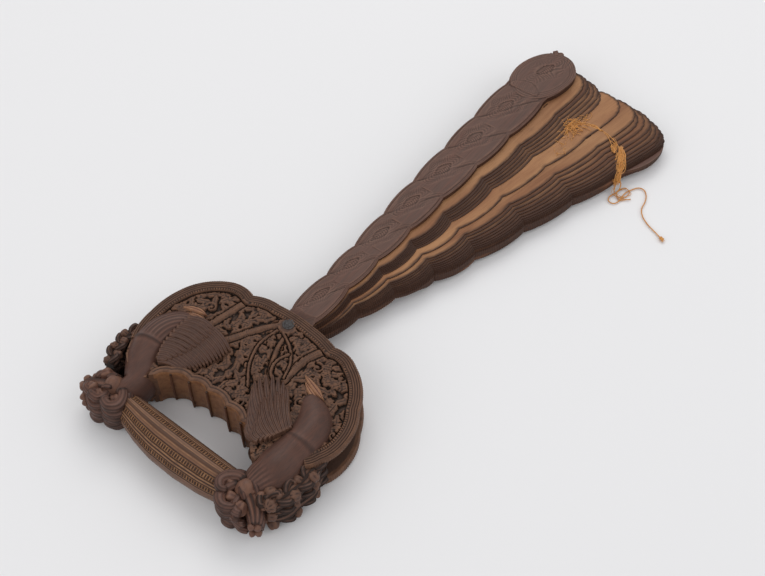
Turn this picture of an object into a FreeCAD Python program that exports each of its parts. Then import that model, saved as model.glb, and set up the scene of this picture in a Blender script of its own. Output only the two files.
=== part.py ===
import FreeCAD, Part
import math
import os
import Sketcher

# Sandalwood folding fan with a D-shaped carved hand grip.
# Frame: origin on the rest plane under the rivet, +Y along the grip's axis towards
# the blade tips, +X to the right, +Z up. Millimetres.

V = FreeCAD.Vector
doc = FreeCAD.newDocument("folding_fan")

# ---------------------------------------------------------------- dimensions
sheet = doc.addObject("Spreadsheet::Sheet", "dims")
ROWS = [
    ("handle_thickness", 24.0),
    ("rear_cheek", 6.0),
    ("slot_height", 14.0),
    ("field_depth", 1.2),
    ("pin_radius", 2.0),
    ("bore_clearance", 0.05),
    ("washer_radius", 4.2),
    ("washer_thickness", 0.8),
    ("rivet_head_radius", 3.0),
    ("rivet_head_height", 1.2),
    ("guard_plate", 2.0),
    ("guard_gap", 0.05),
    ("stick_count", 20),
    ("stick_gap", 0.05),
    ("stick_length", 263.0),
    ("guard_length", 268.5),
    ("head_radius", 8.4),
    ("band_height", 1.2),
    ("band_inset", 1.3),
    ("front_boss", 2.6),
    ("bulb_half_width", 17.3),
    ("open_half_angle", 63.0),
    ("rear_rest_angle", -15.2),
    ("front_rest_angle", 1.3),
    ("thread_diameter", 0.8),
    ("knot_radius", 1.5),
]
for k, (name, value) in enumerate(ROWS, start=1):
    sheet.set(f"A{k}", name)
    sheet.set(f"B{k}", str(value))
    sheet.setAlias(f"B{k}", name)
doc.recompute()


def d(name):
    return float(getattr(sheet, name))


def plane(body, role):
    return next(f for f in body.Origin.OriginFeatures if f.Role == role)


def add_loop(sk, segs):
    """One closed loop of lines and three-point arcs, joined end to end."""
    first = sk.GeometryCount
    for s in segs:
        if len(s) == 2:
            sk.addGeometry(Part.LineSegment(V(*s[0], 0), V(*s[1], 0)), False)
        else:
            sk.addGeometry(Part.Arc(V(*s[0], 0), V(*s[1], 0), V(*s[2], 0)), False)
    return first


def poly(points):
    return [(points[i], points[(i + 1) % len(points)]) for i in range(len(points))]


def arcs(points, bulge, closed=False):
    """Arcs between neighbouring points, each standing out to its left by bulge."""
    out = []
    n = len(points)
    for i in range(n if closed else n - 1):
        a, b = points[i], points[(i + 1) % n]
        k = bulge[i] if isinstance(bulge, (list, tuple)) else bulge
        dx, dy = b[0] - a[0], b[1] - a[1]
        ln = math.hypot(dx, dy)
        mid = ((a[0] + b[0]) / 2 - dy / ln * k, (a[1] + b[1]) / 2 + dx / ln * k)
        out.append((a, mid, b))
    return out


def sketch(body, name, level, loops, circles=(), role="XY_Plane"):
    sk = body.newObject("Sketcher::SketchObject", name)
    sk.AttachmentSupport = [(plane(body, role), "")]
    sk.MapMode = "FlatFace"
    if isinstance(level, str):
        sk.setExpression("AttachmentOffset.Base.z", level)
    else:
        sk.AttachmentOffset = FreeCAD.Placement(V(0, 0, level), FreeCAD.Rotation())
    for lp in loops:
        add_loop(sk, lp)
    for (cx, cy, r, expr) in circles:
        g = sk.addGeometry(Part.Circle(V(cx, cy, 0), V(0, 0, 1), r), False)
        c = sk.addConstraint(Sketcher.Constraint("Radius", g, r))
        if expr:
            sk.setExpression(f"Constraints[{c}]", expr)
    return sk


def pad(body, name, sk, length, reverse=False):
    f = body.newObject("PartDesign::Pad", name)
    f.Profile = sk
    f.Reversed = reverse
    if isinstance(length, str):
        f.setExpression("Length", length)
    else:
        f.Length = length
    return f


def pocket(body, name, sk, length, reverse=False):
    f = body.newObject("PartDesign::Pocket", name)
    f.Profile = sk
    f.Type = 0
    f.Reversed = reverse
    if isinstance(length, str):
        f.setExpression("Length", length)
    else:
        f.Length = length
    return f


# ------------------------------------------------------------ handle block
# Three-lobed D: centre lobe over the rivet, a large lobe each side.
LOBES = [
    (-57.0, -55.0), (-61.5, -37.0), (-57.5, -13.0), (-43.4, 1.6), (-27.0, 2.7),
    (-12.0, 6.6), (12.0, 6.6), (27.5, 3.6), (43.0, 1.0), (60.5, -18.0),
    (67.0, -36.0), (64.0, -50.0), (60.0, -57.0),
]
LOBE_ARCS = [
    (LOBES[0], (-60.5, -46.0), LOBES[1]),
    (LOBES[1], (-61.0, -24.0), LOBES[2]),
    (LOBES[2], (-51.5, -4.6), LOBES[3]),
    (LOBES[3], (-35.0, 4.2), LOBES[4]),
    (LOBES[4], (-20.0, 5.8), LOBES[5]),
    (LOBES[5], (0.0, 7.4), LOBES[6]),
    (LOBES[6], (20.0, 5.6), LOBES[7]),
    (LOBES[7], (35.2, 4.1), LOBES[8]),
    (LOBES[8], (54.0, -7.5), LOBES[9]),
    (LOBES[9], (65.2, -26.5), LOBES[10]),
    (LOBES[10], (66.6, -43.0), LOBES[11]),
    (LOBES[11], (62.4, -53.8), LOBES[12]),
]
LOWER = [(60.0, -57.0), (57.0, -72.0), (46.0, -76.0), (35.0, -74.0), (34.0, -66.0),
         (-33.0, -66.0), (-34.0, -74.0), (-46.0, -78.0), (-54.0, -66.0), (-57.0, -55.0)]
CORE = [(-75.0, -56.0), (-52.0, -56.0), (-49.0, -45.0), (-48.0, -33.0), (-42.0, -22.0),
        (-32.0, -15.5), (-12.0, -13.0), (12.0, -13.0), (32.0, -15.5), (43.0, -22.0),
        (50.0, -31.0), (53.0, -40.0), (54.0, -56.0), (80.0, -56.0), (80.0, 25.0), (-75.0, 25.0)]

block = doc.addObject("PartDesign::Body", "handle_block")
s0 = sketch(block, "outline", 0.0, [LOBE_ARCS + poly(LOWER)[:-1]])
pad(block, "slab", s0, "dims.handle_thickness")
s1 = sketch(block, "slot_plan", "dims.rear_cheek", [poly(CORE)])
pocket(block, "stick_slot", s1, "dims.slot_height", True)
# recessed carved field inside the rim, both faces
FIELD = [(-50.0, -34.0), (-52.5, -24.0), (-44.0, -9.5), (-33.0, -5.0), (-27.0, -6.5), (-20.0, -2.5),
         (-8.5, -1.5), (-8.5, -9.0), (8.5, -9.0), (8.5, -1.5), (20.0, -2.5), (27.0, -5.0), (35.0, -4.0),
         (46.0, -11.0), (55.5, -24.0), (58.0, -37.0), (50.0, -36.0), (30.0, -30.0),
         (18.0, -42.0), (0.0, -46.0), (-18.0, -42.0), (-30.0, -30.0)]
s2 = sketch(block, "front_field_plan", "dims.handle_thickness", [poly(FIELD)])
pocket(block, "front_field", s2, "dims.field_depth")
s3 = sketch(block, "rear_field_plan", 0.0, [poly(FIELD)])
pocket(block, "rear_field", s3, "dims.field_depth", True)
s4 = sketch(block, "rivet_plan", 0.0, [], [(0, 0, 2.01, "dims.pin_radius + 0.01")])
pocket(block, "rivet_hole", s4, "dims.handle_thickness", True)
s5 = sketch(block, "rear_seat_plan", 0.0, [], [(0, 0, 4.22, "dims.washer_radius + 0.02")])
pocket(block, "rear_washer_seat", s5, "dims.washer_thickness", True)


def oval(cx, cy, along, across, turn, n=18):
    """Polygon round an ellipse whose long axis points along +Y turned by turn degrees."""
    t = math.radians(turn)
    out = []
    for i in range(n):
        a = 2 * math.pi * i / n
        u, w = across * math.cos(a), along * math.sin(a)
        out.append((cx + u * math.cos(t) - w * math.sin(t), cy + u * math.sin(t) + w * math.cos(t)))
    return poly(out)


# carved masses in the round: plan oval, then lowest and highest level
MASSES = [
    ("left_body", (-46.5, -48.0, 25.0, 11.0, 3.0), 0.0, 22.0),
    ("left_back", (-46.5, -48.0, 20.0, 8.0, 3.0), 20.0, 27.0),
    ("left_wing", (-31.0, -42.0, 20.0, 9.5, -32.0), 22.0, 26.0),
    ("left_neck", (-43.0, -78.0, 13.0, 8.0, 20.0), 1.5, 24.5),
    ("left_head", (-48.5, -87.0, 8.5, 10.0, 25.0), 2.0, 24.0),
    ("left_mane", (-36.0, -91.0, 5.5, 8.0, 0.0), 3.0, 22.0),
    ("left_crest", (-58.5, -66.0, 14.0, 4.0, -5.0), 5.0, 21.0),
    ("right_body", (46.5, -48.5, 27.0, 12.0, 22.0), 0.0, 22.0),
    ("right_back", (46.5, -48.5, 22.0, 9.0, 22.0), 20.0, 27.0),
    ("right_wing", (24.0, -42.0, 19.0, 10.5, 40.0), 22.0, 26.0),
    ("right_neck", (43.5, -78.0, 14.0, 9.0, -5.0), 1.5, 24.5),
    ("right_head", (45.0, -89.0, 7.0, 10.5, 10.0), 2.0, 24.0),
    ("right_mane", (56.5, -89.0, 5.5, 7.5, 15.0), 3.0, 22.0),
    ("right_crest", (66.0, -70.0, 17.0, 4.6, -12.0), 5.0, 21.0),
]
for name, plan, z0, z1 in MASSES:
    sk = sketch(block, name + "_plan", z0, [oval(*plan)])
    pad(block, name, sk, z1 - z0)

# finger opening: fluted upper wall, straight lower edge along the grip bar
flutes = [(31.0, -60.7), (27.4, -59.3), (20.2, -57.6), (8.5, -55.6), (-4.6, -54.8),
          (-15.4, -56.1), (-25.8, -58.4), (-31.0, -63.5)]
s6 = sketch(block, "opening_plan", -1.0, [
    arcs(flutes, [-0.6, -1.2, -1.5, -1.5, -1.5, -1.5, -0.8])
    + poly([(-31.0, -63.5), (-31.0, -110.0), (33.0, -110.0), (33.0, -74.0), (31.0, -60.7)])[:-1]])
pocket(block, "finger_opening", s6, "dims.handle_thickness + 10", True)
handle = block
handle.Label = "handle_block"

# ---------------------------------------------------------------- grip bar
bar = doc.addObject("PartDesign::Body", "grip_bar")
bar.Label = "grip_bar"
stations = [(-31.0, -82.0, 7.8, 8.8), (-24.0, -83.0, 8.8, 9.6), (-8.0, -84.4, 10.3, 10.8),
            (8.0, -84.6, 10.4, 10.9), (24.0, -83.9, 9.8, 10.2), (33.0, -83.0, 9.0, 9.2)]
profiles = []
for k, (x, y, ry, rz) in enumerate(stations):
    sk = bar.newObject("Sketcher::SketchObject", f"bar_section_{k + 1}")
    sk.AttachmentSupport = [(plane(bar, "YZ_Plane"), "")]
    sk.MapMode = "FlatFace"
    sk.AttachmentOffset = FreeCAD.Placement(V(0, 0, x), FreeCAD.Rotation())
    # local x runs along +Y and local y along +Z on this plane
    if rz >= ry:
        sk.addGeometry(Part.Ellipse(V(y, 12 + rz, 0), V(y + ry, 12, 0), V(y, 12, 0)), False)
    else:
        sk.addGeometry(Part.Ellipse(V(y + ry, 12, 0), V(y, 12 + rz, 0), V(y, 12, 0)), False)
    profiles.append(sk)
lf = bar.newObject("PartDesign::AdditiveLoft", "bar_loft")
lf.Profile = profiles[0]
lf.Sections = profiles[1:]

# ------------------------------------------------------------ rivet, washers
pin = doc.addObject("PartDesign::Body", "rivet_pin")
pin.Label = "rivet_pin"
p0 = sketch(pin, "shank_plan", 0.0, [], [(0, 0, 2.0, "dims.pin_radius")])
pad(pin, "shank", p0, "dims.handle_thickness + dims.washer_thickness")
p1 = sketch(pin, "head_plan", "dims.handle_thickness + dims.washer_thickness", [],
            [(0, 0, 3.0, "dims.rivet_head_radius")])
pad(pin, "head", p1, "dims.rivet_head_height")
fw = doc.addObject("PartDesign::Body", "front_washer")
fw.Label = "front_washer"
w0 = sketch(fw, "ring_plan", "dims.handle_thickness", [], [
    (0, 0, 4.2, "dims.washer_radius"), (0, 0, 2.02, "dims.pin_radius + 0.02")])
pad(fw, "ring", w0, "dims.washer_thickness")
rw = doc.addObject("PartDesign::Body", "rear_washer")
rw.Label = "rear_washer"
w1 = sketch(rw, "ring_plan", 0.0, [], [
    (0, 0, 4.2, "dims.washer_radius"), (0, 0, 2.02, "dims.pin_radius + 0.02")])
pad(rw, "ring", w1, "dims.washer_thickness")

# ---------------------------------------------------------------- blades
# Each blade is a long plate with a round head on the rivet, edges cut in a row of
# shallow scallops, and a lobed tip. Half width at each cusp, by distance from the rivet.
# Guards and sticks are scalloped at their own spacing.
CUSPS = [(12.0, 8.0), (40.0, 7.6), (65.0, 8.2), (93.0, 9.4), (122.5, 10.6), (155.5, 11.8),
         (188.0, 12.9), (223.5, 13.8)]
STICK_CUSPS = [(12.0, 8.0), (38.0, 7.7), (62.0, 8.4), (88.0, 9.3), (116.0, 10.4), (151.5, 11.0),
               (188.0, 12.0), (223.5, 13.2)]
STICK_SAG = [1.8, 1.8, 2.6, 2.8, 2.4, 2.0, 1.8]


def blade(half_tip, length, inset=0.0, start=0, tip_inset=0.0, cusps=CUSPS, sag=(1.8,) * 7):
    """Closed outline of a blade, counter-clockwise from the right of its head."""
    c = [(h - inset, y) for y, h in cusps[start:]]
    right = []
    for j in range(len(c) - 1):
        right += arcs(c[j:j + 2], -sag[start + j] if inset == 0 else 0.2 - sag[start + j])
    tip_w = half_tip - inset
    top = length - inset - tip_inset
    last = c[-1]
    side = (last, ((last[0] + tip_w) / 2 + 0.5, last[1] + 12.0), (tip_w, last[1] + 24.0))
    corner = ((tip_w, last[1] + 24.0), (tip_w * 0.82, top - 8.0), (tip_w * 0.5, top - 2.2))
    crown_r = ((tip_w * 0.5, top - 2.2), (0.0, top), (-tip_w * 0.5, top - 2.2))
    path = right + [side, corner, crown_r]
    mirror = [tuple((-p[0], p[1]) for p in s[::-1]) for s in ([side, corner])[::-1] + right[::-1]]
    path += mirror
    if start == 0:
        r = d("head_radius")
        ang = math.radians(20.0)
        a = (r * math.cos(ang), r * math.sin(ang))
        path += [((-c[0][0], c[0][1]), (-a[0], a[1])), ((-a[0], a[1]), (0.0, -r), a), (a, (c[0][0], c[0][1]))]
    else:
        path += [((-c[0][0], c[0][1]), (0.0, c[0][1] - 4.0), (c[0][0], c[0][1]))]
    return path


def bulb_outline(inset):
    w = d("bulb_half_width") - inset
    top = d("guard_length") - inset
    pts = [(9.6 - inset * 0.5, 221.0), (w, 243.0), (w * 0.55, top - 3.6), (0.0, top),
           (-w * 0.55, top - 3.6), (-w, 243.0), (-9.6 + inset * 0.5, 221.0)]
    return [
        (pts[0], (w - 1.6, 231.0), pts[1]), (pts[1], (w * 0.9, top - 14.0), pts[2]), (pts[2], (w * 0.29, top - 0.9), pts[3]),
        (pts[3], (-w * 0.29, top - 0.9), pts[4]), (pts[4], (-w * 0.9, top - 14.0), pts[5]),
        (pts[5], (-w + 1.6, 231.0), pts[6]), (pts[6], pts[0])]


REST = [-1.5, -2.1, -2.7, -3.3, -3.9, -4.6, -7.7, -10.1, -10.9, -11.7, -12.5, -13.1,
        -13.7, -14.2, -14.6, -14.85, -15.0, -15.1, -15.2, -15.25]
n_sticks = int(d("stick_count"))
assert n_sticks == len(REST)
low = d("rear_cheek") + d("guard_gap") + d("guard_plate")
high = d("rear_cheek") + d("slot_height") - d("guard_gap") - d("guard_plate")
pitch = (high - low - d("stick_gap")) / n_sticks
thick = pitch - d("stick_gap")
k = len(ROWS) + 1
for name, value in (("stick_pitch", pitch), ("stick_thickness", thick)):
    sheet.set(f"A{k}", name)
    sheet.set(f"B{k}", f"{value:.6f}")
    sheet.setAlias(f"B{k}", name)
    k += 1
for i, a in enumerate(REST):
    sheet.set(f"A{k}", f"rest_angle_{i + 1:02d}")
    sheet.set(f"B{k}", str(a))
    sheet.setAlias(f"B{k}", f"rest_angle_{i + 1:02d}")
    k += 1
doc.recompute()



def stick_length(i):
    """The lower sticks stand a little longer; all vary slightly."""
    t = min(max((i - 4) / 7.0, 0.0), 1.0)
    return d("stick_length") + 1.2 * math.sin(i * 2.1) + 4.2 * t * t * (3 - 2 * t)


blades = []
for i in range(n_sticks):
    b = doc.addObject("PartDesign::Body", f"stick_{i + 1:02d}")
    b.Label = f"stick_{i + 1:02d}"
    sk = sketch(b, f"stick_plan_{i + 1:02d}", 0.0, [blade(14.0, stick_length(i), cusps=STICK_CUSPS, sag=STICK_SAG)],
                [(0, 0, 2.05, "dims.pin_radius + dims.bore_clearance")])
    pad(b, f"stick_plate_{i + 1:02d}", sk, "dims.stick_thickness")
    b.Placement = FreeCAD.Placement(V(0, 0, 0), FreeCAD.Rotation(V(0, 0, 1), REST[i]))
    # stick_01 is the one under the front guard
    b.setExpression(
        "Placement.Base.z",
        f"dims.rear_cheek + dims.guard_gap + dims.guard_plate + dims.stick_gap + {n_sticks - 1 - i} * dims.stick_pitch")
    blades.append(b)


def guard(name, front):
    b = doc.addObject("PartDesign::Body", name)
    b.Label = name
    level = ("dims.rear_cheek + dims.slot_height - dims.guard_gap - dims.guard_plate" if front
             else "dims.rear_cheek + dims.guard_gap + dims.guard_plate")
    cusps = CUSPS if front else STICK_CUSPS
    sag = (1.8,) * 7 if front else STICK_SAG
    sk = sketch(b, name + "_plan", level, [blade(14.2, d("stick_length") - 1.0, cusps=cusps, sag=sag)],
                [(0, 0, 2.05, "dims.pin_radius + dims.bore_clearance")])
    pad(b, name + "_plate", sk, "dims.guard_plate", not front)
    sk = sketch(b, name + "_bulb_plan", level, [bulb_outline(0.0)])
    pad(b, name + "_bulb", sk, "dims.guard_plate", not front)
    sk = sketch(b, name + "_band_plan", level, [blade(14.2, d("stick_length") - 10, d("band_inset"), 3, 6.0, cusps, sag)])
    pad(b, name + "_band", sk, "dims.guard_plate + dims.band_height", not front)
    sk = sketch(b, name + "_boss_plan", level, [bulb_outline(2.0)])
    pad(b, name + "_boss", sk, "dims.guard_plate + dims.front_boss" if front else level, not front)
    a = d("front_rest_angle") if front else d("rear_rest_angle")
    b.Placement = FreeCAD.Placement(V(0, 0, 0), FreeCAD.Rotation(V(0, 0, 1), a))
    return b


front = guard("front_guard", True)
rear = guard("rear_guard", False)

# ------------------------------------------------- loose silk thread and knot
# Route of the loose tail: out of the rear guard's edge, down to the rest surface,
# one small bight, a bend, then away to its knot.
ROUTE = [(69.6, 211.2, 7.0), (73.6, 210.1, 6.6), (76.0, 208.4, 3.4), (75.6, 204.6, 0.9), (73.4, 200.6, 0.5),
         (74.4, 196.2, 0.5), (78.8, 196.0, 0.5), (80.2, 200.8, 0.5), (79.0, 207.6, 0.5), (81.4, 213.6, 0.5),
         (83.8, 217.4, 0.5), (87.8, 217.2, 0.5), (91.0, 213.0, 0.5), (92.6, 208.2, 0.5), (93.2, 202.8, 0.5),
         (96.8, 197.8, 0.5),
         (103.0, 193.8, 0.5), (109.4, 191.6, 0.5), (113.4, 189.6, 0.6)]


def route_wire(points):
    p = [V(*q) for q in points]
    edges, start, least = [], p[0], 1e9
    for i in range(1, len(p) - 1):
        u, w = (p[i] - p[i - 1]), (p[i + 1] - p[i])
        short = min(u.Length, w.Length)
        u.normalize()
        w.normalize()
        turn = u.getAngle(w)
        cut_back = 0.45 * short
        radius = cut_back / math.tan(turn / 2)
        least = min(least, radius)
        a, b = p[i] - u * cut_back, p[i] + w * cut_back
        bis = (w - u)
        bis.normalize()
        centre = p[i] + bis * (radius / math.cos(turn / 2))
        mid = centre - bis * radius
        if (a - start).Length > 1e-4:
            edges.append(Part.LineSegment(start, a).toShape())
        edges.append(Part.Arc(a, mid, b).toShape())
        start = b
        print(f"thread bend {i}: radius {radius:.2f} mm, turn {math.degrees(turn):.0f} deg")
    edges.append(Part.LineSegment(start, p[-1]).toShape())
    print(f"thread least radius {least:.2f} mm, in diameters {least / d('thread_diameter'):.1f}")
    return Part.Wire(edges)


wire = route_wire(ROUTE)
r_thread = d("thread_diameter") / 2
first_dir = V(*ROUTE[1]) - V(*ROUTE[0])
section = Part.Wire(Part.Circle(V(*ROUTE[0]), first_dir, r_thread).toShape())
tube = Part.Wire(wire).makePipeShell([section], True, False)
want = math.pi * r_thread ** 2 * wire.Length
print(f"thread length {wire.Length:.1f} mm, volume {tube.Volume:.2f}, section times length {want:.2f}")
assert abs(tube.Volume / want - 1) < 0.03
tail = doc.addObject("Part::Feature", "thread_tail")
tail.Label = "thread_tail"
tail.Shape = tube
knot = doc.addObject("Part::Ellipsoid", "thread_knot")
knot.Label = "thread_knot"
knot.Radius1 = 1.4
knot.Radius2 = 2.0
knot.Radius3 = 1.5
knot.setExpression("Radius1", "dims.knot_radius - 0.1")
knot.Placement = FreeCAD.Placement(V(114.4, 189.2, 1.45), FreeCAD.Rotation(V(0, 0, 1), -27.0))

doc.recompute()

for o in doc.Objects:
    bad = [s for s in o.State if s in ("Invalid", "Error")]
    if bad:
        raise SystemExit(f"{o.Name} is {bad}")

nodes = [handle, bar, pin, fw, rw, front, rear, tail, knot] + blades
os.makedirs("parts", exist_ok=True)
for o in nodes:
    s = o.Shape
    if s.isNull() or not s.isValid():
        raise SystemExit(f"{o.Label} has no valid shape")
    if len(s.Solids) != 1:
        raise SystemExit(f"{o.Label} has {len(s.Solids)} solids")
    bb = s.optimalBoundingBox(True, False)
    print(f"{o.Label}: {s.Volume / 1000:.2f} cm3  x {bb.XMin:.1f} {bb.XMax:.1f}  y {bb.YMin:.1f} {bb.YMax:.1f}  z {bb.ZMin:.2f} {bb.ZMax:.2f}")
for o in nodes:
    o.Shape.exportStep(f"parts/{o.Label}.step")
print(len(nodes), "nodes, stick thickness", round(thick, 3), "pitch", round(pitch, 3))
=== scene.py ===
import math
import bpy
import numpy as np
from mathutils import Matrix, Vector
from mathutils.geometry import delaunay_2d_cdt
from mathutils.kdtree import KDTree


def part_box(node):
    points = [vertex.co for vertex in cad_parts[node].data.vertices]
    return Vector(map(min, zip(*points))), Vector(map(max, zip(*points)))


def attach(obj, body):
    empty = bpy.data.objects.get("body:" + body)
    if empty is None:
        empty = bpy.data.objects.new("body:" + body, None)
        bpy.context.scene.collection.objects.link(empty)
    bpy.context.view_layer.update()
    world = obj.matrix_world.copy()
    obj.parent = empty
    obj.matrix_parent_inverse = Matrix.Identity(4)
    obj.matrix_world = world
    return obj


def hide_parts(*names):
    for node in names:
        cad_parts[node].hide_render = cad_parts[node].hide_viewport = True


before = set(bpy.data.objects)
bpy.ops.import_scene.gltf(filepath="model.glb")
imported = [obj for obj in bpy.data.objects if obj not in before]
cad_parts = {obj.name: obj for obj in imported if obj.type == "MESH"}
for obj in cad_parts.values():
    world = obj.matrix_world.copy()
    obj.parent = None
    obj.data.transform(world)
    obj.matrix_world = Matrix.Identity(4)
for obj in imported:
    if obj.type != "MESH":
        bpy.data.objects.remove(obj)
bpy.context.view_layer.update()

MM = 0.001

# ------------------------------------------------------------------ mesh helpers


def cavity(v, faces_edges, k_small=3, k_big=14):
    """How far each point lies below the smoothed surface, in mm, at two scales."""
    n = len(v)
    e = faces_edges
    deg = np.bincount(np.concatenate([e[:, 0], e[:, 1]]), minlength=n).astype(float)
    deg[deg == 0] = 1

    def smooth(p):
        out = np.empty_like(p)
        for c in range(3):
            out[:, c] = (np.bincount(e[:, 0], weights=p[e[:, 1], c], minlength=n)
                         + np.bincount(e[:, 1], weights=p[e[:, 0], c], minlength=n)) / deg
        return out
    p = v.copy()
    small = None
    for i in range(k_big):
        p = smooth(p)
        if i + 1 == k_small:
            small = p.copy()
    return small - v, p - v


def make(name, verts, faces, mats, body, nodes=(), loc=None, face_mat=None, smooth=True, cav=True, sharp=None):
    """verts in mm. loc: the same points in the piece's own grain frame, mm."""
    verts = np.asarray(verts, float)
    me = bpy.data.meshes.new(name)
    me.from_pydata((verts * MM).tolist(), [], [list(map(int, f)) for f in faces])
    for m in mats:
        me.materials.append(m)
    if face_mat is not None:
        me.polygons.foreach_set("material_index", np.asarray(face_mat, dtype=np.int32))
    me.polygons.foreach_set("use_smooth", np.full(len(me.polygons), smooth))
    me.validate(clean_customdata=False)
    me.update()
    if sharp is not None and smooth:
        me.set_sharp_from_angle(angle=math.radians(sharp))
    n = len(me.vertices)
    lv = verts if loc is None else np.asarray(loc, float)
    at = me.attributes.new("loc", "FLOAT_VECTOR", "POINT")
    at.data.foreach_set("vector", lv.reshape(-1).astype(np.float32))
    if cav:
        e = np.empty(len(me.edges) * 2, dtype=np.int64)
        me.edges.foreach_get("vertices", e)
        s, b = cavity(verts, e.reshape(-1, 2))
        no = np.empty(n * 3)
        me.vertices.foreach_get("normal", no)
        no = no.reshape(-1, 3)
        cs = (s * no).sum(1)
        cb = (b * no).sum(1)
        # cav and cavb hold hollow depth at two scales; wood() uses them for lighter worn ridges and for painted shade
        # in the hollows
        a1 = me.attributes.new("cav", "FLOAT", "POINT")
        a1.data.foreach_set("value", cs.astype(np.float32))
        a2 = me.attributes.new("cavb", "FLOAT", "POINT")
        a2.data.foreach_set("value", cb.astype(np.float32))
    ob = bpy.data.objects.new(name, me)
    bpy.context.scene.collection.objects.link(ob)
    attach(ob, body)
    if nodes:
        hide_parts(*nodes)
    return ob


def closed_plate(xy, faces, top, bottom):
    """A sheet of faces given twice, with walls along its free edges. Returns verts, faces, wall flags."""
    n = len(xy)
    v = np.zeros((2 * n, 3))
    v[:n, :2] = xy
    v[n:, :2] = xy
    v[:n, 2] = top
    v[n:, 2] = bottom
    count = {}
    for f in faces:
        m = len(f)
        for i in range(m):
            a, b = f[i], f[(i + 1) % m]
            if (b, a) in count:
                del count[(b, a)]
            else:
                count[(a, b)] = 1
    out = [tuple(f) for f in faces] + [tuple(i + n for i in f[::-1]) for f in faces]
    kind = [0] * len(faces) + [1] * len(faces)
    for (a, b) in count:
        out.append((b, a, a + n, b + n))
        kind.append(2)
    return v, out, kind


def circle3(p, m, q, n):
    """n+1 points on the arc from p through m to q."""
    ax, ay, bx, by, cx, cy = *p, *m, *q
    dd = 2 * (ax * (by - cy) + bx * (cy - ay) + cx * (ay - by))
    ux = ((ax * ax + ay * ay) * (by - cy) + (bx * bx + by * by) * (cy - ay) + (cx * cx + cy * cy) * (ay - by)) / dd
    uy = ((ax * ax + ay * ay) * (cx - bx) + (bx * bx + by * by) * (ax - cx) + (cx * cx + cy * cy) * (bx - ax)) / dd
    r = math.hypot(ax - ux, ay - uy)
    a0 = math.atan2(ay - uy, ax - ux)
    a1 = math.atan2(by - uy, bx - ux)
    a2 = math.atan2(cy - uy, cx - ux)
    tau = 2 * math.pi
    if (a1 - a0) % tau < (a2 - a0) % tau:
        sweep = (a2 - a0) % tau
    else:
        sweep = -((a0 - a2) % tau)
    return [(ux + r * math.cos(a0 + sweep * i / n), uy + r * math.sin(a0 + sweep * i / n)) for i in range(n + 1)]


def densify(pts, step, closed=False):
    pts = np.asarray(pts, float)
    if closed:
        pts = np.vstack([pts, pts[:1]])
    seg = np.hypot(*np.diff(pts, axis=0).T)
    s = np.concatenate([[0], np.cumsum(seg)])
    n = max(2, int(round(s[-1] / step)))
    t = np.linspace(0, s[-1], n + 1)
    out = np.stack([np.interp(t, s, pts[:, 0]), np.interp(t, s, pts[:, 1])], 1)
    return out[:-1] if closed else out


def smooth_curve(pts, n):
    """Catmull-Rom through 2-D or 3-D points, n samples."""
    p = np.asarray(pts, float)
    p = np.vstack([2 * p[0] - p[1], p, 2 * p[-1] - p[-2]])
    m = len(p) - 3
    t = np.linspace(0, m - 1e-9, n)
    i = t.astype(int)
    f = (t - i)[:, None]
    a, b, c, d = p[i], p[i + 1], p[i + 2], p[i + 3]
    return 0.5 * ((2 * b) + (c - a) * f + (2 * a - 5 * b + 4 * c - d) * f ** 2 + (3 * b - a - 3 * c + d) * f ** 3)


def sstep(a, b, x):
    t = np.clip((x - a) / (b - a), 0, 1)
    return t * t * (3 - 2 * t)


def tube(points, radii, nseg=14, ridges=0, ridge_depth=0.0, squash_z=1.0, cap=True, twist=0.0, lumps=None):
    """Swept closed tube along 3-D points (mm); radii: one per point. Ridges run along it."""
    p = np.asarray(points, float)
    r = np.asarray(radii, float)
    n = len(p)
    tan = np.gradient(p, axis=0)
    tan /= np.linalg.norm(tan, axis=1)[:, None]
    up = np.array([0.0, 0.0, 1.0])
    verts = []
    side_prev = None
    for i in range(n):
        side = np.cross(tan[i], up)
        ln = np.linalg.norm(side)
        if ln < 0.2 and side_prev is not None:
            side = side_prev - tan[i] * np.dot(side_prev, tan[i])
            ln = np.linalg.norm(side)
        elif ln < 1e-6:
            side = np.array([1.0, 0, 0])
            ln = 1
        side = side / ln
        if side_prev is not None and np.dot(side, side_prev) < 0:
            side = -side
        side_prev = side
        nor = np.cross(side, tan[i])
        for k in range(nseg):
            a = 2 * math.pi * k / nseg + twist * i / n
            rr = r[i] * (1 + ridge_depth * math.cos(ridges * a)) if ridges else r[i]
            if lumps is not None:
                rr *= lumps[i]
            verts.append(p[i] + side * rr * math.cos(a) + nor * rr * math.sin(a) * squash_z)
    faces = []
    for i in range(n - 1):
        for k in range(nseg):
            a, b = i * nseg + k, i * nseg + (k + 1) % nseg
            faces.append((a, b, b + nseg, a + nseg))
    if cap:
        verts.append(p[0])
        verts.append(p[-1])
        c0, c1 = len(verts) - 2, len(verts) - 1
        for k in range(nseg):
            faces.append((c0, (k + 1) % nseg, k))
            b = (n - 1) * nseg
            faces.append((c1, b + k, b + (k + 1) % nseg))
    return np.array(verts), faces


def join(parts):
    vs, fs, off = [], [], 0
    for v, f in parts:
        vs.append(v)
        fs += [tuple(i + off for i in q) for q in f]
        off += len(v)
    return np.vstack(vs), fs


def mirror_z(v, f, mid=12.0, keep=None):
    w = np.array(v, float)
    w[:, 2] = 2 * mid - w[:, 2]
    if keep:
        w = keep(w)
    return w, [tuple(q[::-1]) for q in f]


# ------------------------------------------------------------------ materials


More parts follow.
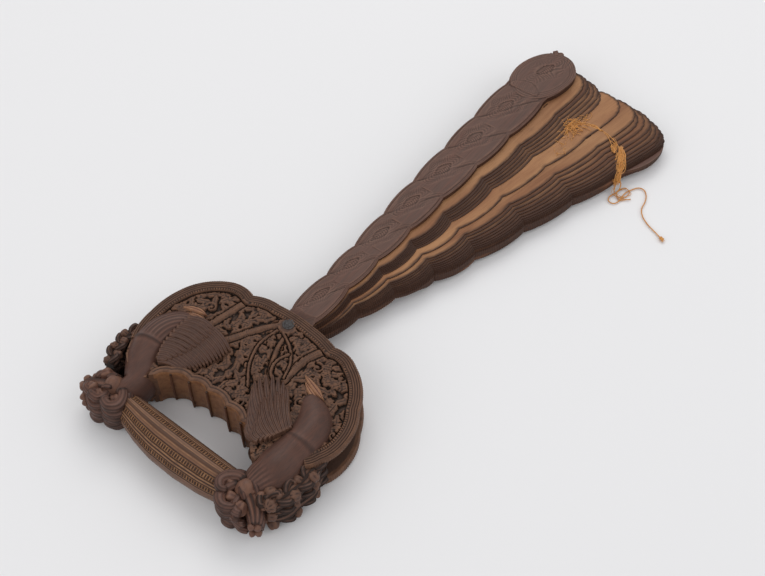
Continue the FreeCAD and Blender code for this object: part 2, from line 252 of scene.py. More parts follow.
class Nodes:
    def __init__(self, name):
        self.m = bpy.data.materials.new(name)
        self.m.use_nodes = True
        self.t = self.m.node_tree
        self.b = self.t.nodes["Principled BSDF"]

    def new(self, kind, **kw):
        n = self.t.nodes.new(kind)
        for k, v in kw.items():
            setattr(n, k, v)
        return n

    def link(self, a, b):
        self.t.links.new(a, b)

    def attr(self, name, out):
        n = self.new("ShaderNodeAttribute", attribute_name=name)
        return n.outputs[out]

    def noise(self, vec, scale, detail=4.0, rough=0.55, dist=0.0):
        mp = self.new("ShaderNodeMapping")
        mp.inputs["Scale"].default_value = scale
        self.link(vec, mp.inputs["Vector"])
        n = self.new("ShaderNodeTexNoise")
        n.inputs["Scale"].default_value = 1.0
        n.inputs["Detail"].default_value = detail
        n.inputs["Roughness"].default_value = rough
        n.inputs["Distortion"].default_value = dist
        self.link(mp.outputs[0], n.inputs["Vector"])
        return n.outputs["Fac"]

    def remap(self, val, a, b, c=0.0, d=1.0):
        n = self.new("ShaderNodeMapRange")
        n.inputs[1].default_value, n.inputs[2].default_value = a, b
        n.inputs[3].default_value, n.inputs[4].default_value = c, d
        self.link(val, n.inputs[0])
        return n.outputs[0]

    def mix(self, fac, a, b):
        n = self.new("ShaderNodeMix", data_type="RGBA")
        for sock, val in ((n.inputs[6], a), (n.inputs[7], b)):
            if isinstance(val, tuple):
                sock.default_value = (*val, 1)
            else:
                self.link(val, sock)
        if isinstance(fac, float):
            n.inputs[0].default_value = fac
        else:
            self.link(fac, n.inputs[0])
        return n.outputs[2]

    def math(self, op, a, b):
        n = self.new("ShaderNodeMath", operation=op)
        for sock, val in ((n.inputs[0], a), (n.inputs[1], b)):
            if isinstance(val, (int, float)):
                sock.default_value = val
            else:
                self.link(val, sock)
        return n.outputs[0]

    def bump(self, height, strength, dist):
        n = self.new("ShaderNodeBump")
        n.inputs["Strength"].default_value = strength
        n.inputs["Distance"].default_value = dist
        self.link(height, n.inputs["Height"])
        self.link(n.outputs[0], self.b.inputs["Normal"])


def wood(name, painted_shade_col, base, ridge, red, rough=(0.45, 0.62), cav_lo=(-0.06, 0.10), cav_big=(-0.5, 0.9), fibre=0.35,
         grain=(1.6, 0.06, 1.6), wear=0.8, painted_shade_k=0.8):
    w = Nodes(name)
    loc = w.attr("loc", "Vector")
    g1 = w.noise(loc, grain, 5.0, 0.6, 0.6)
    g2 = w.noise(loc, (grain[0] * 4, grain[1] * 2.2, grain[2] * 4), 3.0, 0.6)
    big = w.noise(loc, (0.05, 0.02, 0.05), 3.0, 0.5)
    col = w.mix(w.remap(g1, 0.35, 0.68), base, red)
    dark = tuple(c * 0.62 for c in base)
    col = w.mix(w.math("MULTIPLY", w.remap(g2, 0.5, 0.72), 0.55), col, dark)
    col = w.mix(w.math("MULTIPLY", w.remap(big, 0.42, 0.66), 0.5), col, tuple(c * 1.35 for c in base))
    cs = w.attr("cav", "Fac")
    cb = w.attr("cavb", "Fac")
    spot = w.noise(loc, (0.35, 0.2, 0.35), 4.0, 0.6)
    ridge_f = w.math("MULTIPLY", w.remap(cs, 0.0, cav_lo[0]), w.remap(spot, 0.3, 0.62, 0.15, wear))
    col = w.mix(ridge_f, col, ridge)
    # painted shade: colour pulled towards the dark shade colour in small hollows (cav) and broad hollows (cavb),
    # standing in for the shade that gathers in recesses
    col = w.mix(w.math("MULTIPLY", w.remap(cs, 0.0, cav_lo[1]), painted_shade_k), col, painted_shade_col)
    col = w.mix(w.math("MULTIPLY", w.remap(cb, 0.05, cav_big[1]), 0.8), col, painted_shade_col)
    w.link(col, w.b.inputs["Base Color"])
    r = w.remap(w.math("ADD", g2, w.math("MULTIPLY", w.remap(cs, 0.0, cav_lo[1]), 0.4)), 0.3, 1.0, rough[0], rough[1])
    w.link(r, w.b.inputs["Roughness"])
    w.b.inputs["Specular IOR Level"].default_value = 0.20
    w.bump(w.math("ADD", g2, w.math("MULTIPLY", g1, 0.6)), fibre, 0.00012)
    return w.m


M_CARVED = wood("carved_wood", (0.017, 0.010, 0.007), (0.056, 0.031, 0.022), (0.17, 0.083, 0.047), (0.075, 0.037, 0.024),
                rough=(0.52, 0.7), cav_lo=(-0.05, 0.14))
M_SMOOTH = wood("smooth_dark_wood", (0.020, 0.011, 0.008), (0.062, 0.034, 0.026), (0.15, 0.076, 0.048), (0.086, 0.041, 0.029),
                rough=(0.42, 0.58), grain=(0.9, 0.08, 0.9), cav_lo=(-0.07, 0.13))
# beast bodies: their own wood colour, with base and red tones raised overall as a painted sky reflection like the one
# the bodies' tops catch
M_BODY_WITH_SHEEN = wood("beast_body_wood_painted_sheen", (0.024, 0.013, 0.010), (0.092, 0.048, 0.037), (0.18, 0.090, 0.058), (0.135, 0.060, 0.041),
              rough=(0.38, 0.54), grain=(0.6, 0.08, 0.6), cav_lo=(-0.12, 0.2))
M_WALL = wood("hole_wall_wood", (0.035, 0.016, 0.009), (0.115, 0.046, 0.024), (0.27, 0.13, 0.06), (0.165, 0.066, 0.030),
              rough=(0.42, 0.58), grain=(0.5, 0.5, 0.06), cav_lo=(-0.05, 0.3), painted_shade_k=0.5)
M_BAR = wood("grip_bar_wood", (0.022, 0.010, 0.006), (0.120, 0.060, 0.036), (0.33, 0.175, 0.085), (0.16, 0.075, 0.042),
             rough=(0.36, 0.52), cav_lo=(-0.05, 0.07), grain=(0.08, 1.2, 1.2))
M_EAR = wood("pale_leaf_wood", (0.03, 0.015, 0.01), (0.17, 0.078, 0.048), (0.34, 0.18, 0.095), (0.21, 0.088, 0.055), rough=(0.45, 0.6))
M_GUARD = wood("guard_wood", (0.030, 0.018, 0.013), (0.086, 0.048, 0.037), (0.165, 0.090, 0.064), (0.122, 0.056, 0.040),
               rough=(0.44, 0.6), cav_lo=(-0.05, 0.12), grain=(0.5, 0.03, 0.5), painted_shade_k=0.6)


def stick_face():
    w = Nodes("stick_face_wood")
    loc = w.attr("loc", "Vector")
    g1 = w.noise(loc, (0.9, 0.02, 1.0), 5.0, 0.6, 0.8)
    g2 = w.noise(loc, (5.0, 0.12, 5.0), 3.0, 0.6)
    big = w.noise(loc, (0.06, 0.012, 0.35), 3.0, 0.5)
    col = w.mix(w.remap(g1, 0.33, 0.7), (0.30, 0.137, 0.062), (0.20, 0.082, 0.036))
    col = w.mix(w.remap(big, 0.40, 0.62), col, (0.39, 0.198, 0.090))
    col = w.mix(w.math("MULTIPLY", w.remap(g2, 0.5, 0.75), 0.5), col, (0.16, 0.068, 0.034))
    # each blade has its own depth of colour
    col = w.mix(w.attr("tone", "Fac"), col, (0.078, 0.032, 0.018))
    # stained towards the worked edge
    e = w.attr("edge", "Fac")
    spot = w.noise(loc, (0.5, 0.12, 0.5), 4.0, 0.6)
    stain = w.remap(w.math("SUBTRACT", e, w.math("MULTIPLY", spot, 2.2)), 1.0, -0.85)
    col = w.mix(stain, col, (0.040, 0.017, 0.010))
    w.link(col, w.b.inputs["Base Color"])
    w.link(w.remap(g2, 0.3, 0.8, 0.52, 0.68), w.b.inputs["Roughness"])
    w.b.inputs["Specular IOR Level"].default_value = 0.22
    w.bump(g2, 0.3, 0.00008)
    return w.m


def stick_edge():
    w = Nodes("stick_edge_wood")
    loc = w.attr("loc", "Vector")
    g = w.noise(loc, (2.0, 0.5, 3.0), 4.0, 0.6)
    lay = w.noise(loc, (0.05, 0.03, 0.7), 2.0, 0.5)
    col = w.mix(w.remap(g, 0.35, 0.7), (0.036, 0.016, 0.010), (0.082, 0.035, 0.020))
    col = w.mix(w.remap(lay, 0.56, 0.74), col, (0.18, 0.080, 0.042))
    w.link(col, w.b.inputs["Base Color"])
    w.link(w.remap(g, 0.3, 0.8, 0.5, 0.68), w.b.inputs["Roughness"])
    w.b.inputs["Specular IOR Level"].default_value = 0.2
    w.bump(g, 0.25, 0.0001)
    return w.m


M_FACE = stick_face()
M_EDGE = stick_edge()


def steel():
    w = Nodes("worn_steel")
    loc = w.attr("loc", "Vector")
    g = w.noise(loc, (1.2, 1.2, 1.2), 5.0, 0.6)
    col = w.mix(w.remap(g, 0.35, 0.7), (0.075, 0.072, 0.074), (0.035, 0.028, 0.024))
    w.link(col, w.b.inputs["Base Color"])
    w.b.inputs["Metallic"].default_value = 0.7
    w.link(w.remap(g, 0.3, 0.75, 0.45, 0.7), w.b.inputs["Roughness"])
    w.bump(g, 0.3, 0.0001)
    return w.m


def silk():
    w = Nodes("silk_thread")
    loc = w.attr("loc", "Vector")
    g = w.noise(loc, (1.5, 1.5, 1.5), 4.0, 0.6)
    tw = w.noise(loc, (6.0, 6.0, 6.0), 2.0, 0.5)
    col = w.mix(w.remap(g, 0.35, 0.68), (0.52, 0.20, 0.032), (0.68, 0.33, 0.075))
    col = w.mix(w.math("MULTIPLY", w.remap(tw, 0.5, 0.7), 0.5), col, (0.32, 0.13, 0.03))
    w.link(col, w.b.inputs["Base Color"])
    w.b.inputs["Roughness"].default_value = 0.56
    w.b.inputs["Sheen Weight"].default_value = 0.3
    w.b.inputs["Sheen Roughness"].default_value = 0.4
    w.bump(tw, 0.4, 0.0001)
    return w.m


M_STEEL = steel()
M_SILK = silk()

# ------------------------------------------------------------------ camera, light, floor
cam = bpy.data.cameras.new("camera")
cam.sensor_width = 36.0
cam.lens = 36.0 * 1100.0 / 765.0
cam.clip_start, cam.clip_end = 0.01, 20.0
cam_ob = bpy.data.objects.new("camera", cam)
bpy.context.scene.collection.objects.link(cam_ob)
TH, PH = 0.8945088573634608, 0.6669728210942159
cam_ob.location = Vector((245.473, -234.405, 472.129)) * MM
fwd = Vector((-math.sin(PH) * math.cos(TH), math.cos(PH) * math.cos(TH), -math.sin(TH)))
cam_ob.rotation_euler = fwd.to_track_quat("-Z", "Y").to_euler()
bpy.context.scene.camera = cam_ob
bpy.context.scene.view_settings.view_transform = "Standard"
bpy.context.scene.view_settings.look = "None"


def area(name, loc, target, size, power, color=(1, 1, 1)):
    li = bpy.data.lights.new(name, "AREA")
    li.shape = "RECTANGLE"
    li.size, li.size_y = size
    li.energy = power
    li.color = color
    ob = bpy.data.objects.new(name, li)
    ob.location = loc
    ob.rotation_euler = (Vector(target) - Vector(loc)).to_track_quat("-Z", "Y").to_euler()
    bpy.context.scene.collection.objects.link(ob)


# the camera looks along (-0.39, 0.49) on the plan: "left" in the picture is (-0.79, -0.62)
area("key_softbox", (-0.55, 0.75, 1.15), (0.0, 0.08, 0.0), (1.1, 0.9), 6.2, (1.0, 0.99, 0.97))
area("fill_softbox", (0.9, 0.55, 0.9), (0.0, 0.05, 0.0), (1.1, 1.1), 3.1, (1.0, 1.0, 1.0))
area("front_softbox", (-0.15, -1.1, 0.9), (0.0, 0.0, 0.0), (1.4, 1.0), 5.0, (1.0, 0.99, 0.98))
world = bpy.data.worlds.new("studio")
bpy.context.scene.world = world
world.use_nodes = True
world.node_tree.nodes["Background"].inputs[0].default_value = (0.93, 0.94, 0.96, 1)
world.node_tree.nodes["Background"].inputs[1].default_value = 0.66

fl = bpy.data.meshes.new("floor")
S = 6.0
fl.from_pydata([(-S, -S, -0.0004), (S, -S, -0.0004), (S, S, -0.0004), (-S, S, -0.0004)], [], [(0, 1, 2, 3)])
fm = Nodes("studio_paper")
fm.b.inputs["Base Color"].default_value = (0.80, 0.795, 0.80, 1)
fm.b.inputs["Roughness"].default_value = 0.9
fm.b.inputs["Specular IOR Level"].default_value = 0.1
fl.materials.append(fm.m)
floor = bpy.data.objects.new("floor", fl)
bpy.context.scene.collection.objects.link(floor)

# ------------------------------------------------------------------ blades
CUSP = [(12.0, 8.0), (40.0, 7.6), (65.0, 8.2), (93.0, 9.4), (122.5, 10.6), (155.5, 11.8), (188.0, 12.9), (223.5, 13.8)]
STICK_CUSP = [(12.0, 8.0), (38.0, 7.7), (62.0, 8.4), (88.0, 9.3), (116.0, 10.4), (151.5, 11.0), (188.0, 12.0), (223.5, 13.2)]
STICK_SAG = [1.8, 1.8, 2.6, 2.8, 2.4, 2.0, 1.8]
HEAD_R = 8.4
BULGE = 1.9
BORE = 2.06


def half_width(y, tip=14.0, cusp=STICK_CUSP, sag=STICK_SAG):
    """Half width of a blade at distance y from the rivet, below the tip's shoulder."""
    y = np.asarray(y, float)
    ys = np.array([c[0] for c in cusp])
    hs = np.array([c[1] for c in cusp])
    w = np.interp(y, ys, hs)
    k = np.clip(np.searchsorted(ys, y, side="right") - 1, 0, len(ys) - 2)
    t = np.clip((y - ys[k]) / (ys[k + 1] - ys[k]), 0, 1)
    w = w + np.asarray(sag)[k] * (4 * t * (1 - t)) ** 0.8 * (y < ys[-1])
    up = y > ys[-1]
    tt = np.clip((y - ys[-1]) / 16.0, 0, 1)
    w = np.where(up, hs[-1] + (tip - hs[-1]) * np.sin(tt * math.pi / 2) ** 0.8, w)
    low = y < 12.0
    head = np.sqrt(np.maximum(HEAD_R ** 2 - np.minimum(y, 8.3) ** 2, 0.0))
    w = np.where(low, np.where(y < 2.0, head, np.interp(y, [2.0, 12.0], [math.sqrt(HEAD_R ** 2 - 4.0), 8.0])), w)
    return w


def notch(s, depth=0.26, period=1.2):
    return depth * (0.5 - 0.5 * np.cos(2 * math.pi * s / period)) ** 1.4


def blade_outline(length, tip, seed, step=0.3, depth=0.26):
    """Right side, crown, left side and head of one blade, with fine vertical ribs on its edge."""
    yc = length - 21.0
    y = np.arange(12.0, yc, step)
    w = half_width(y, tip)
    right = np.stack([w - notch(y, depth), y], 1)
    wt = half_width(np.array([yc]), tip)[0]
    a = np.linspace(0, math.pi, 150)
    ex = 2 / 2.5
    cx = np.sign(np.cos(a)) * np.abs(np.cos(a)) ** ex * wt
    cy = np.abs(np.sin(a)) ** ex * 21.0
    s = np.concatenate([[0], np.cumsum(np.hypot(np.diff(cx), np.diff(cy)))])
    lump = 0.45 * np.abs(np.sin(math.pi * s / 4.3 + seed)) * sstep(0.15, 0.5, np.sin(a))
    crown = np.stack([cx * (1 + (lump - notch(s, depth)) / 16.0), yc + cy + lump - 0.5 * notch(s, depth)], 1)
    left = right[::-1] * np.array([-1, 1])
    b = np.linspace(math.radians(166), math.radians(374), 40)
    head = np.stack([HEAD_R * np.cos(b), HEAD_R * np.sin(b)], 1)
    return np.vstack([right, crown[1:-1], left, head])


def inset(poly_pts, dist):
    p = np.asarray(poly_pts)
    # normals from a slightly smoothed outline, so the ribs don't tangle
    q = p.copy()
    for _ in range(6):
        q = 0.5 * q + 0.25 * (np.roll(q, 1, 0) + np.roll(q, -1, 0))
    t = np.roll(q, -1, 0) - np.roll(q, 1, 0)
    t /= np.maximum(np.linalg.norm(t, axis=1)[:, None], 1e-9)
    nrm = np.stack([-t[:, 1], t[:, 0]], 1)
    return q + nrm * dist


def turn(v, deg):
    a = math.radians(deg)
    w = np.array(v, float)
    w[:, 0] = v[:, 0] * math.cos(a) - v[:, 1] * math.sin(a)
    w[:, 1] = v[:, 0] * math.sin(a) + v[:, 1] * math.cos(a)
    return w


REST = [-1.5, -2.1, -2.7, -3.3, -3.9, -4.6, -7.7, -10.1, -10.9, -11.7, -12.5, -13.1,
        -13.7, -14.2, -14.6, -14.85, -15.0, -15.1, -15.2, -15.25]
TONE = [0.15, 0.75, 0.6, 0.5, 0.6, 0.45, 0.0, 0.12, 0.5, 0.4, 0.55, 0.6, 0.66, 0.72, 0.78, 0.8, 0.85, 0.85, 0.85, 0.85]
FRONT_REST, REAR_REST = 1.3, -15.2


def stick(i, z0, z1):
    rngs = np.random.default_rng(100 + i)
    lt = min(max((i - 4) / 7.0, 0.0), 1.0)
    length = 263.0 + 1.2 * math.sin(i * 2.1) + 4.2 * lt * lt * (3 - 2 * lt)
    out = blade_outline(length, 14.0, i * 0.7, 0.3)
    n = len(out)
    rings = [out, inset(out, 0.3), inset(out, 0.9), inset(out, 2.2)]
    hole = np.stack([BORE * np.cos(np.linspace(0, 2 * math.pi, 33)[:-1]), BORE * np.sin(np.linspace(0, 2 * math.pi, 33)[:-1])], 1)
    # two small slits near the tip are holes through the blade
    inner = rings[-1][::4]
    m = len(inner)
    pts = [Vector(p) for p in inner] + [Vector(p) for p in hole]
    edges = [(k, (k + 1) % m) for k in range(m)] + [(m + k, m + (k + 1) % 32) for k in range(32)]
    slits = []
    for (sx, sy) in ((-4.0, 226.0), (4.0, 226.0)):
        base = len(pts)
        for (ux, uy) in ((-0.35, -2.2), (0.35, -2.2), (0.35, 2.2), (-0.35, 2.2)):
            pts.append(Vector((sx + ux, sy + uy)))
        edges += [(base + k, base + (k + 1) % 4) for k in range(4)]
        slits.append(base)
    co, _, fa, *_ = delaunay_2d_cdt(pts, edges, [], 1, 1e-6)
    tri = []
    for f in fa:
        c = sum((Vector(co[q]) for q in f), Vector((0, 0))) / len(f)
        if c.length < BORE:
            continue
        if any(abs(c.x - sx) < 0.36 and abs(c.y - 226.0) < 2.21 for sx in (-4.0, 4.0)):
            continue
        tri.append(tuple(f))
    core = np.array([[c.x, c.y] for c in co])
    xy = np.vstack(rings[:3] + [core])
    off = [0, n, 2 * n, 3 * n]
    faces = []
    for r in range(2):
        for k in range(n):
            a, b = off[r] + k, off[r] + (k + 1) % n
            faces.append((a, b, b + n, a + n))
    # ring 3 has every fourth point of the outline
    idx = list(range(0, n, 4))
    for j, k in enumerate(idx):
        k2 = idx[(j + 1) % len(idx)]
        span = list(range(k, k2 + 1)) if k2 > k else list(range(k, n)) + [0]
        fan = [2 * n + s for s in span]
        faces.append(tuple(fan[: len(fan)]) + (3 * n + (j + 1) % m, 3 * n + j))
    faces += [tuple(3 * n + q for q in f) for f in tri]
    v, f, kind = closed_plate(xy, faces, z1, z0)
    edge = np.concatenate([np.full(n, 0.0), np.full(n, 0.3), np.full(n, 0.9), np.full(len(core), 2.2)])
    hold = len(core)
    edge[3 * n + m:] = 2.4
    warp = 0.0
    loc = v.copy()
    loc[:, 2] = loc[:, 2] * 3.0 + i * 37.0
    loc[:, 0] += i * 11.0
    ob = make(f"blade_stick_{i + 1:02d}", turn(v, REST[i]), f, [M_FACE, M_EDGE], f"stick_{i + 1:02d}", [f"stick_{i + 1:02d}"],
              loc=loc, face_mat=[1 if k == 2 else 0 for k in kind], smooth=False, cav=False)
    at = ob.data.attributes.new("edge", "FLOAT", "POINT")
    at.data.foreach_set("value", np.concatenate([edge, edge]).astype(np.float32))
    at = ob.data.attributes.new("tone", "FLOAT", "POINT")
    down = np.tile(sstep(205.0, 150.0, xy[:, 1]), 2) * (0.0 if i in (0, 6, 7) else 0.22) - 0.9 * np.tile(sstep(36.0, 22.0, xy[:, 1]), 2)
    at.data.foreach_set("value", np.clip(TONE[i] + down, 0, 0.95).astype(np.float32))
    return ob


for i in range(20):
    lo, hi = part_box(f"stick_{i + 1:02d}")
    stick(i, lo[2] / MM, hi[2] / MM)


def strands(x, y, w):
    """Relief of a twisted band: broad smooth S-shaped turns from the left edge to the right, an eye in each, in mm."""
    ys = np.array([c[0] for c in CUSP])
    k = np.clip(np.searchsorted(ys, y, side="right") - 1, 0, len(ys) - 2)
    per = ys[k + 1] - ys[k]
    u = np.clip((y - ys[k]) / per, -1, 1)
    t = np.clip(x / np.maximum(w, 0.5), -1, 1)
    turn_at = 0.5 + 0.5 * (1.5 * t - 0.5 * t ** 3)
    phi = k + u - turn_at
    fr = phi - np.floor(phi)
    steep = np.sqrt(1 + (per * 0.75 * (1 - t * t) / np.maximum(w, 0.5)) ** 2)
    above = fr * per / steep
    below = (1 - fr) * per / steep
    dist = np.minimum(above, below)
    out = 0.06 + 0.84 * np.sqrt(np.clip(1 - (1 - np.clip(dist / 4.6, 0, 1)) ** 2, 0, 1))
    out = out + 0.26 * np.exp(-below / 3.0) - 0.20 * np.exp(-above / 2.2)
    right = sstep(-0.1, 0.55, t)
    for a, amp in ((1.0, 0.20), (2.05, 0.20), (3.1, 0.17), (4.15, 0.13)):
        out = out - amp * np.exp(-((below - a) / 0.30) ** 2) * (0.30 + 0.70 * right)
    for a, amp in ((1.0, 0.15), (2.0, 0.11)):
        out = out - amp * np.exp(-((above - a) / 0.30) ** 2) * (0.25 + 0.75 * right)
    # eye: a carved bud, off the middle, with fine lines curling round it
    half_len = np.minimum(6.3, 0.225 * per)
    yc = ys[k] + per * 0.56
    xc = -0.17 * w + 0.14 * (y - yc)
    v = (y - yc) / half_len
    xe = (x - xc) / ((0.21 * w + 0.3) * (1 - 0.30 * np.clip(np.abs(v), 0, 1) ** 1.5))
    e = np.sqrt(xe ** 2 + v ** 2)
    ang = np.arctan2(v, xe)
    bud = 0.12 + 0.34 * np.sqrt(np.clip(1 - (e / 0.95) ** 2, 0, 1)) + 0.14 * np.cos(2 * math.pi * (y + 0.55 * np.abs(x - xc)) / 1.45) * (e < 0.9) \
        - 0.16 * np.exp(-((x - xc) / 0.28) ** 2) * (np.abs(v) < 0.75)
    ring = sum(a * np.exp(-((e - q - 0.16 * ang / math.pi) / 0.10) ** 2) for q, a in ((1.25, 0.24), (1.60, 0.23), (1.95, 0.21), (2.30, 0.17), (2.65, 0.12)))
    lobe = (np.abs(u) > 0.08) & (np.abs(u) < 0.97)
    # the ground round the eye is nearly level, so the lines read on it
    pad = sstep(2.9, 1.9, e) * lobe
    out = out * (1 - 0.7 * pad) + 0.55 * 0.7 * pad
    out = out - ring * lobe * (0.55 + 0.45 * sstep(0.9, -0.4, xe))
    return out + (bud - out) * sstep(1.08, 0.92, e) * lobe


def guard_relief(x, y, w, t, tip_len):
    h = strands(x, y, w)
    # fine lines that follow the scalloped outline
    d = (1 - np.abs(t)) * w
    border = 0.42 + 0.12 * np.cos(2 * math.pi * (d - 0.35) / 0.72)
    h = np.where(d < 2.3, np.maximum(border * sstep(0.0, 0.5, d), h * sstep(0.9, 2.3, d)), h)
    h = np.where(d < 0.5, h * (0.35 + 0.65 * sstep(0, 0.5, d)), h)
    # bulb: a smooth oval with fine lines at its border and round its eye
    cy = 244.5
    rx, ry = 17.3, 24.0
    q = np.sqrt((x / rx) ** 2 + ((y - cy) / ry) ** 2)
    line = sum(np.exp(-((q - a) / 0.018) ** 2) for a in (0.945, 0.88, 0.815))
    ridges = 0.45 + 1.15 * np.sqrt(np.clip(1 - q ** 2, 0, 1)) - 0.16 * line
    ex, ey = -1.6 + 0.16 * (y - 249.0), 249.0
    vv = (y - ey) / 7.2
    xx = (x - ex) / (3.6 * (1 - 0.3 * np.clip(np.abs(vv), 0, 1) ** 1.5))
    cen = np.sqrt(xx ** 2 + vv ** 2)
    ang = np.arctan2(vv, xx)
    eye = 0.95 + 0.40 * np.sqrt(np.clip(1 - cen ** 2, 0, 1)) + 0.14 * np.cos(2 * math.pi * (y + 0.55 * np.abs(x - ex)) / 1.5) - 0.15 * np.exp(-((x - ex) / 0.32) ** 2)
    curl = sum(a * np.exp(-((cen - p - 0.16 * ang / math.pi) / 0.085) ** 2)
               for p, a in ((1.22, 0.24), (1.52, 0.22), (1.82, 0.20), (2.14, 0.18), (2.50, 0.15), (2.90, 0.12)))
    ridges = ridges - curl * (0.35 + 0.65 * sstep(-0.6, 0.6, xx))
    ridges = np.where(cen < 0.98, eye, ridges)
    # leaf wrapped round the bulb's foot, turned up to one side
    px, py = x + 1.6, y - 228.0
    foot = np.sqrt((px / 9.6) ** 2 + ((py + 0.03 * px ** 2 - 1.0) / 4.6) ** 2)
    leaf = 1.15 + 0.35 * np.sqrt(np.clip(1 - foot ** 2, 0, 1)) + 0.07 * np.sin(px * 3.4) * np.sin(py * 3.9) - 0.10 * np.exp(-((foot - 0.84) / 0.035) ** 2)
    ridges = np.where(foot < 1, leaf, ridges)
    inside = (q < 1.0) | (foot < 1)
    return np.where((y > 219.5) & inside, ridges + 0.35, h)


def guard_width(y, length):
    w = half_width(y, 14.2, CUSP, [BULGE] * 7)
    cy, ry, rx = 244.5, length - 244.5, 17.3
    b = rx * np.sqrt(np.clip(1 - (np.abs(y - cy) / np.where(y < cy, 25.5, ry)) ** 2.2, 0, 1))
    b = np.where(y > 219.5, b, 0)
    body = np.where(y > 236, 0, w)
    return np.maximum(body, b)


def rear_width(y, length):
    w = half_width(y, 14.2)
    cy, ry, rx = 244.5, length - 244.5, 17.3
    b = rx * np.sqrt(np.clip(1 - (np.abs(y - cy) / np.where(y < cy, 25.5, ry)) ** 2.2, 0, 1))
    b = np.where(y > 219.5, b, 0)
    return np.maximum(np.where(y > 236, 0, w), b)


def guard(name, node, body, rest, front):
    length = 268.3
    step = 0.36
    y = np.concatenate([-HEAD_R * np.cos(np.linspace(0.0, math.pi / 2, 14))[:-1] * 0.9999, np.arange(0, length - 7, step)])
    a = np.linspace(0, 1, 30)[1:]
    y = np.concatenate([y, y[-1] + (length - y[-1]) * np.sin(a * math.pi / 2)])
    y[-1] = length - 0.001
    w = guard_width(y, length) if front else rear_width(y, length)
    w = np.maximum(w, 0.02)
    ribs = notch(y, 0.22) * ((y > 9) & (y < length - 4))
    nh = 26
    t0 = np.linspace(0, 1, nh + 1)
    t0 = 0.35 * t0 + 0.65 * np.sin(t0 * math.pi / 2)
    xh = np.where(np.abs(y) < BORE, np.sqrt(np.maximum(BORE ** 2 - y ** 2, 0)), 0.0)
    rows = []
    faces = []
    XY, T = [], []
    cols = 2 * (nh + 1)
    for j in range(len(y)):
        wr = w[j] - ribs[j]
        right = xh[j] + (wr - xh[j]) * t0
        XY += [(-r, y[j]) for r in right[::-1]] + [(r, y[j]) for r in right]
        T += [-q for q in t0[::-1]] + list(t0)
    XY, T = np.array(XY), np.array(T)
    ww = np.repeat(w, cols)
    # weld the two halves along the middle outside the bore
    remap = np.arange(len(XY))
    for j in range(len(y)):
        if xh[j] == 0:
            remap[j * cols + nh + 1] = j * cols + nh
    for j in range(len(y) - 1):
        for c in range(cols - 1):
            if c == nh:
                continue
            a0, b0 = j * cols + c, (j + 1) * cols + c
            q = [remap[a0], remap[a0 + 1], remap[b0 + 1], remap[b0]]
            if len(set(q)) > 2:
                faces.append(tuple(dict.fromkeys(q)))
    used = np.unique([i for f in faces for i in f])
    back = np.full(len(XY), -1)
    back[used] = np.arange(len(used))
    faces = [tuple(back[i] for i in f) for f in faces]
    XY, T, ww = XY[used], T[used], ww[used]
    rel = guard_relief(XY[:, 0], XY[:, 1], ww, T, length)
    XY = XY.copy()
    XY[:, 0] += 2.2 * sstep(228, 262, XY[:, 1]) * (1 if front else 0)
    fade = sstep(8.0, 15.0, XY[:, 1])
    rise = 1.3 * sstep(70, 120, XY[:, 1]) + 0.5 * sstep(200, 235, XY[:, 1])
    top = 19.0 + (rel + 0.25) * fade * 0.95 + rise
    top = np.minimum(top, np.where(XY[:, 1] < 70, 19.93, 22.9))
    v, f, kind = closed_plate(XY, faces, top, 17.97)
    loc = v.copy()
    if not front:
        nn = len(XY)
        v[:, 2] = 26.0 - v[:, 2]
        # thicker beyond the grip than in its slot
        v[:nn, 2] -= 3.0 * sstep(74, 86, v[:nn, 1]) * (1 - sstep(222, 236, v[:nn, 1]))
        v[:nn, 2] -= 3.0 * sstep(229, 240, v[:nn, 1]) * sstep(1.0, 0.72, np.sqrt((v[:nn, 0] / 16.5) ** 2 + ((v[:nn, 1] - 245) / 23.5) ** 2))
        v[:, 2] = np.maximum(v[:, 2], 0.15)
        f = [q[::-1] for q in f]
        loc[:, 0] += 90
    return make(name, turn(v, rest), f, [M_GUARD, M_EDGE], body, [node], loc=loc, face_mat=[1 if (k == 2) else 0 for k in kind], sharp=50)


guard("carved_front_guard", "front_guard", "front_guard", FRONT_REST, True)
guard("carved_rear_guard", "rear_guard", "rear_guard", REAR_REST, False)


# ------------------------------------------------------------------ grip: plan curves
ARCS = [
    ((-57.0, -55.0), (-60.5, -46.0), (-61.5, -37.0)),
    ((-61.5, -37.0), (-61.0, -24.0), (-57.5, -13.0)),
    ((-57.5, -13.0), (-51.5, -4.6), (-43.4, 1.6)),
    ((-43.4, 1.6), (-35.0, 4.2), (-27.0, 2.7)),
    ((-27.0, 2.7), (-20.0, 5.8), (-12.0, 6.6)),
    ((-12.0, 6.6), (0.0, 7.4), (12.0, 6.6)),
    ((12.0, 6.6), (20.0, 5.6), (27.5, 3.6)),
    ((27.5, 3.6), (35.2, 4.1), (43.0, 1.0)),
    ((43.0, 1.0), (54.0, -7.5), (60.5, -18.0)),
    ((60.5, -18.0), (65.2, -26.5), (67.0, -36.0)),
    ((67.0, -36.0), (66.6, -43.0), (64.0, -50.0)),
    ((64.0, -50.0), (62.4, -53.8), (60.0, -57.0)),
]
LOBE = []
for p, m, q in ARCS:
    LOBE += circle3(p, m, q, 24)[:-1]
LOBE.append(ARCS[-1][2])
FL = [(31.0, -60.7), (27.4, -59.3), (20.2, -57.6), (8.5, -55.6), (-4.6, -54.8), (-15.4, -56.1), (-25.8, -58.4), (-31.0, -63.5)]
FB = [0.8, 1.8, 2.3, 2.3, 2.3, 2.2, 1.2]
FLUTES = []
for i in range(len(FL) - 1):
    a, b = np.array(FL[i]), np.array(FL[i + 1])
    d = (b - a) / np.linalg.norm(b - a)
    m = (a + b) / 2 + np.array([d[1], -d[0]]) * FB[i]
    FLUTES += circle3(tuple(a), tuple(m), tuple(b), 16)[:-1]
FLUTES.append(FL[-1])
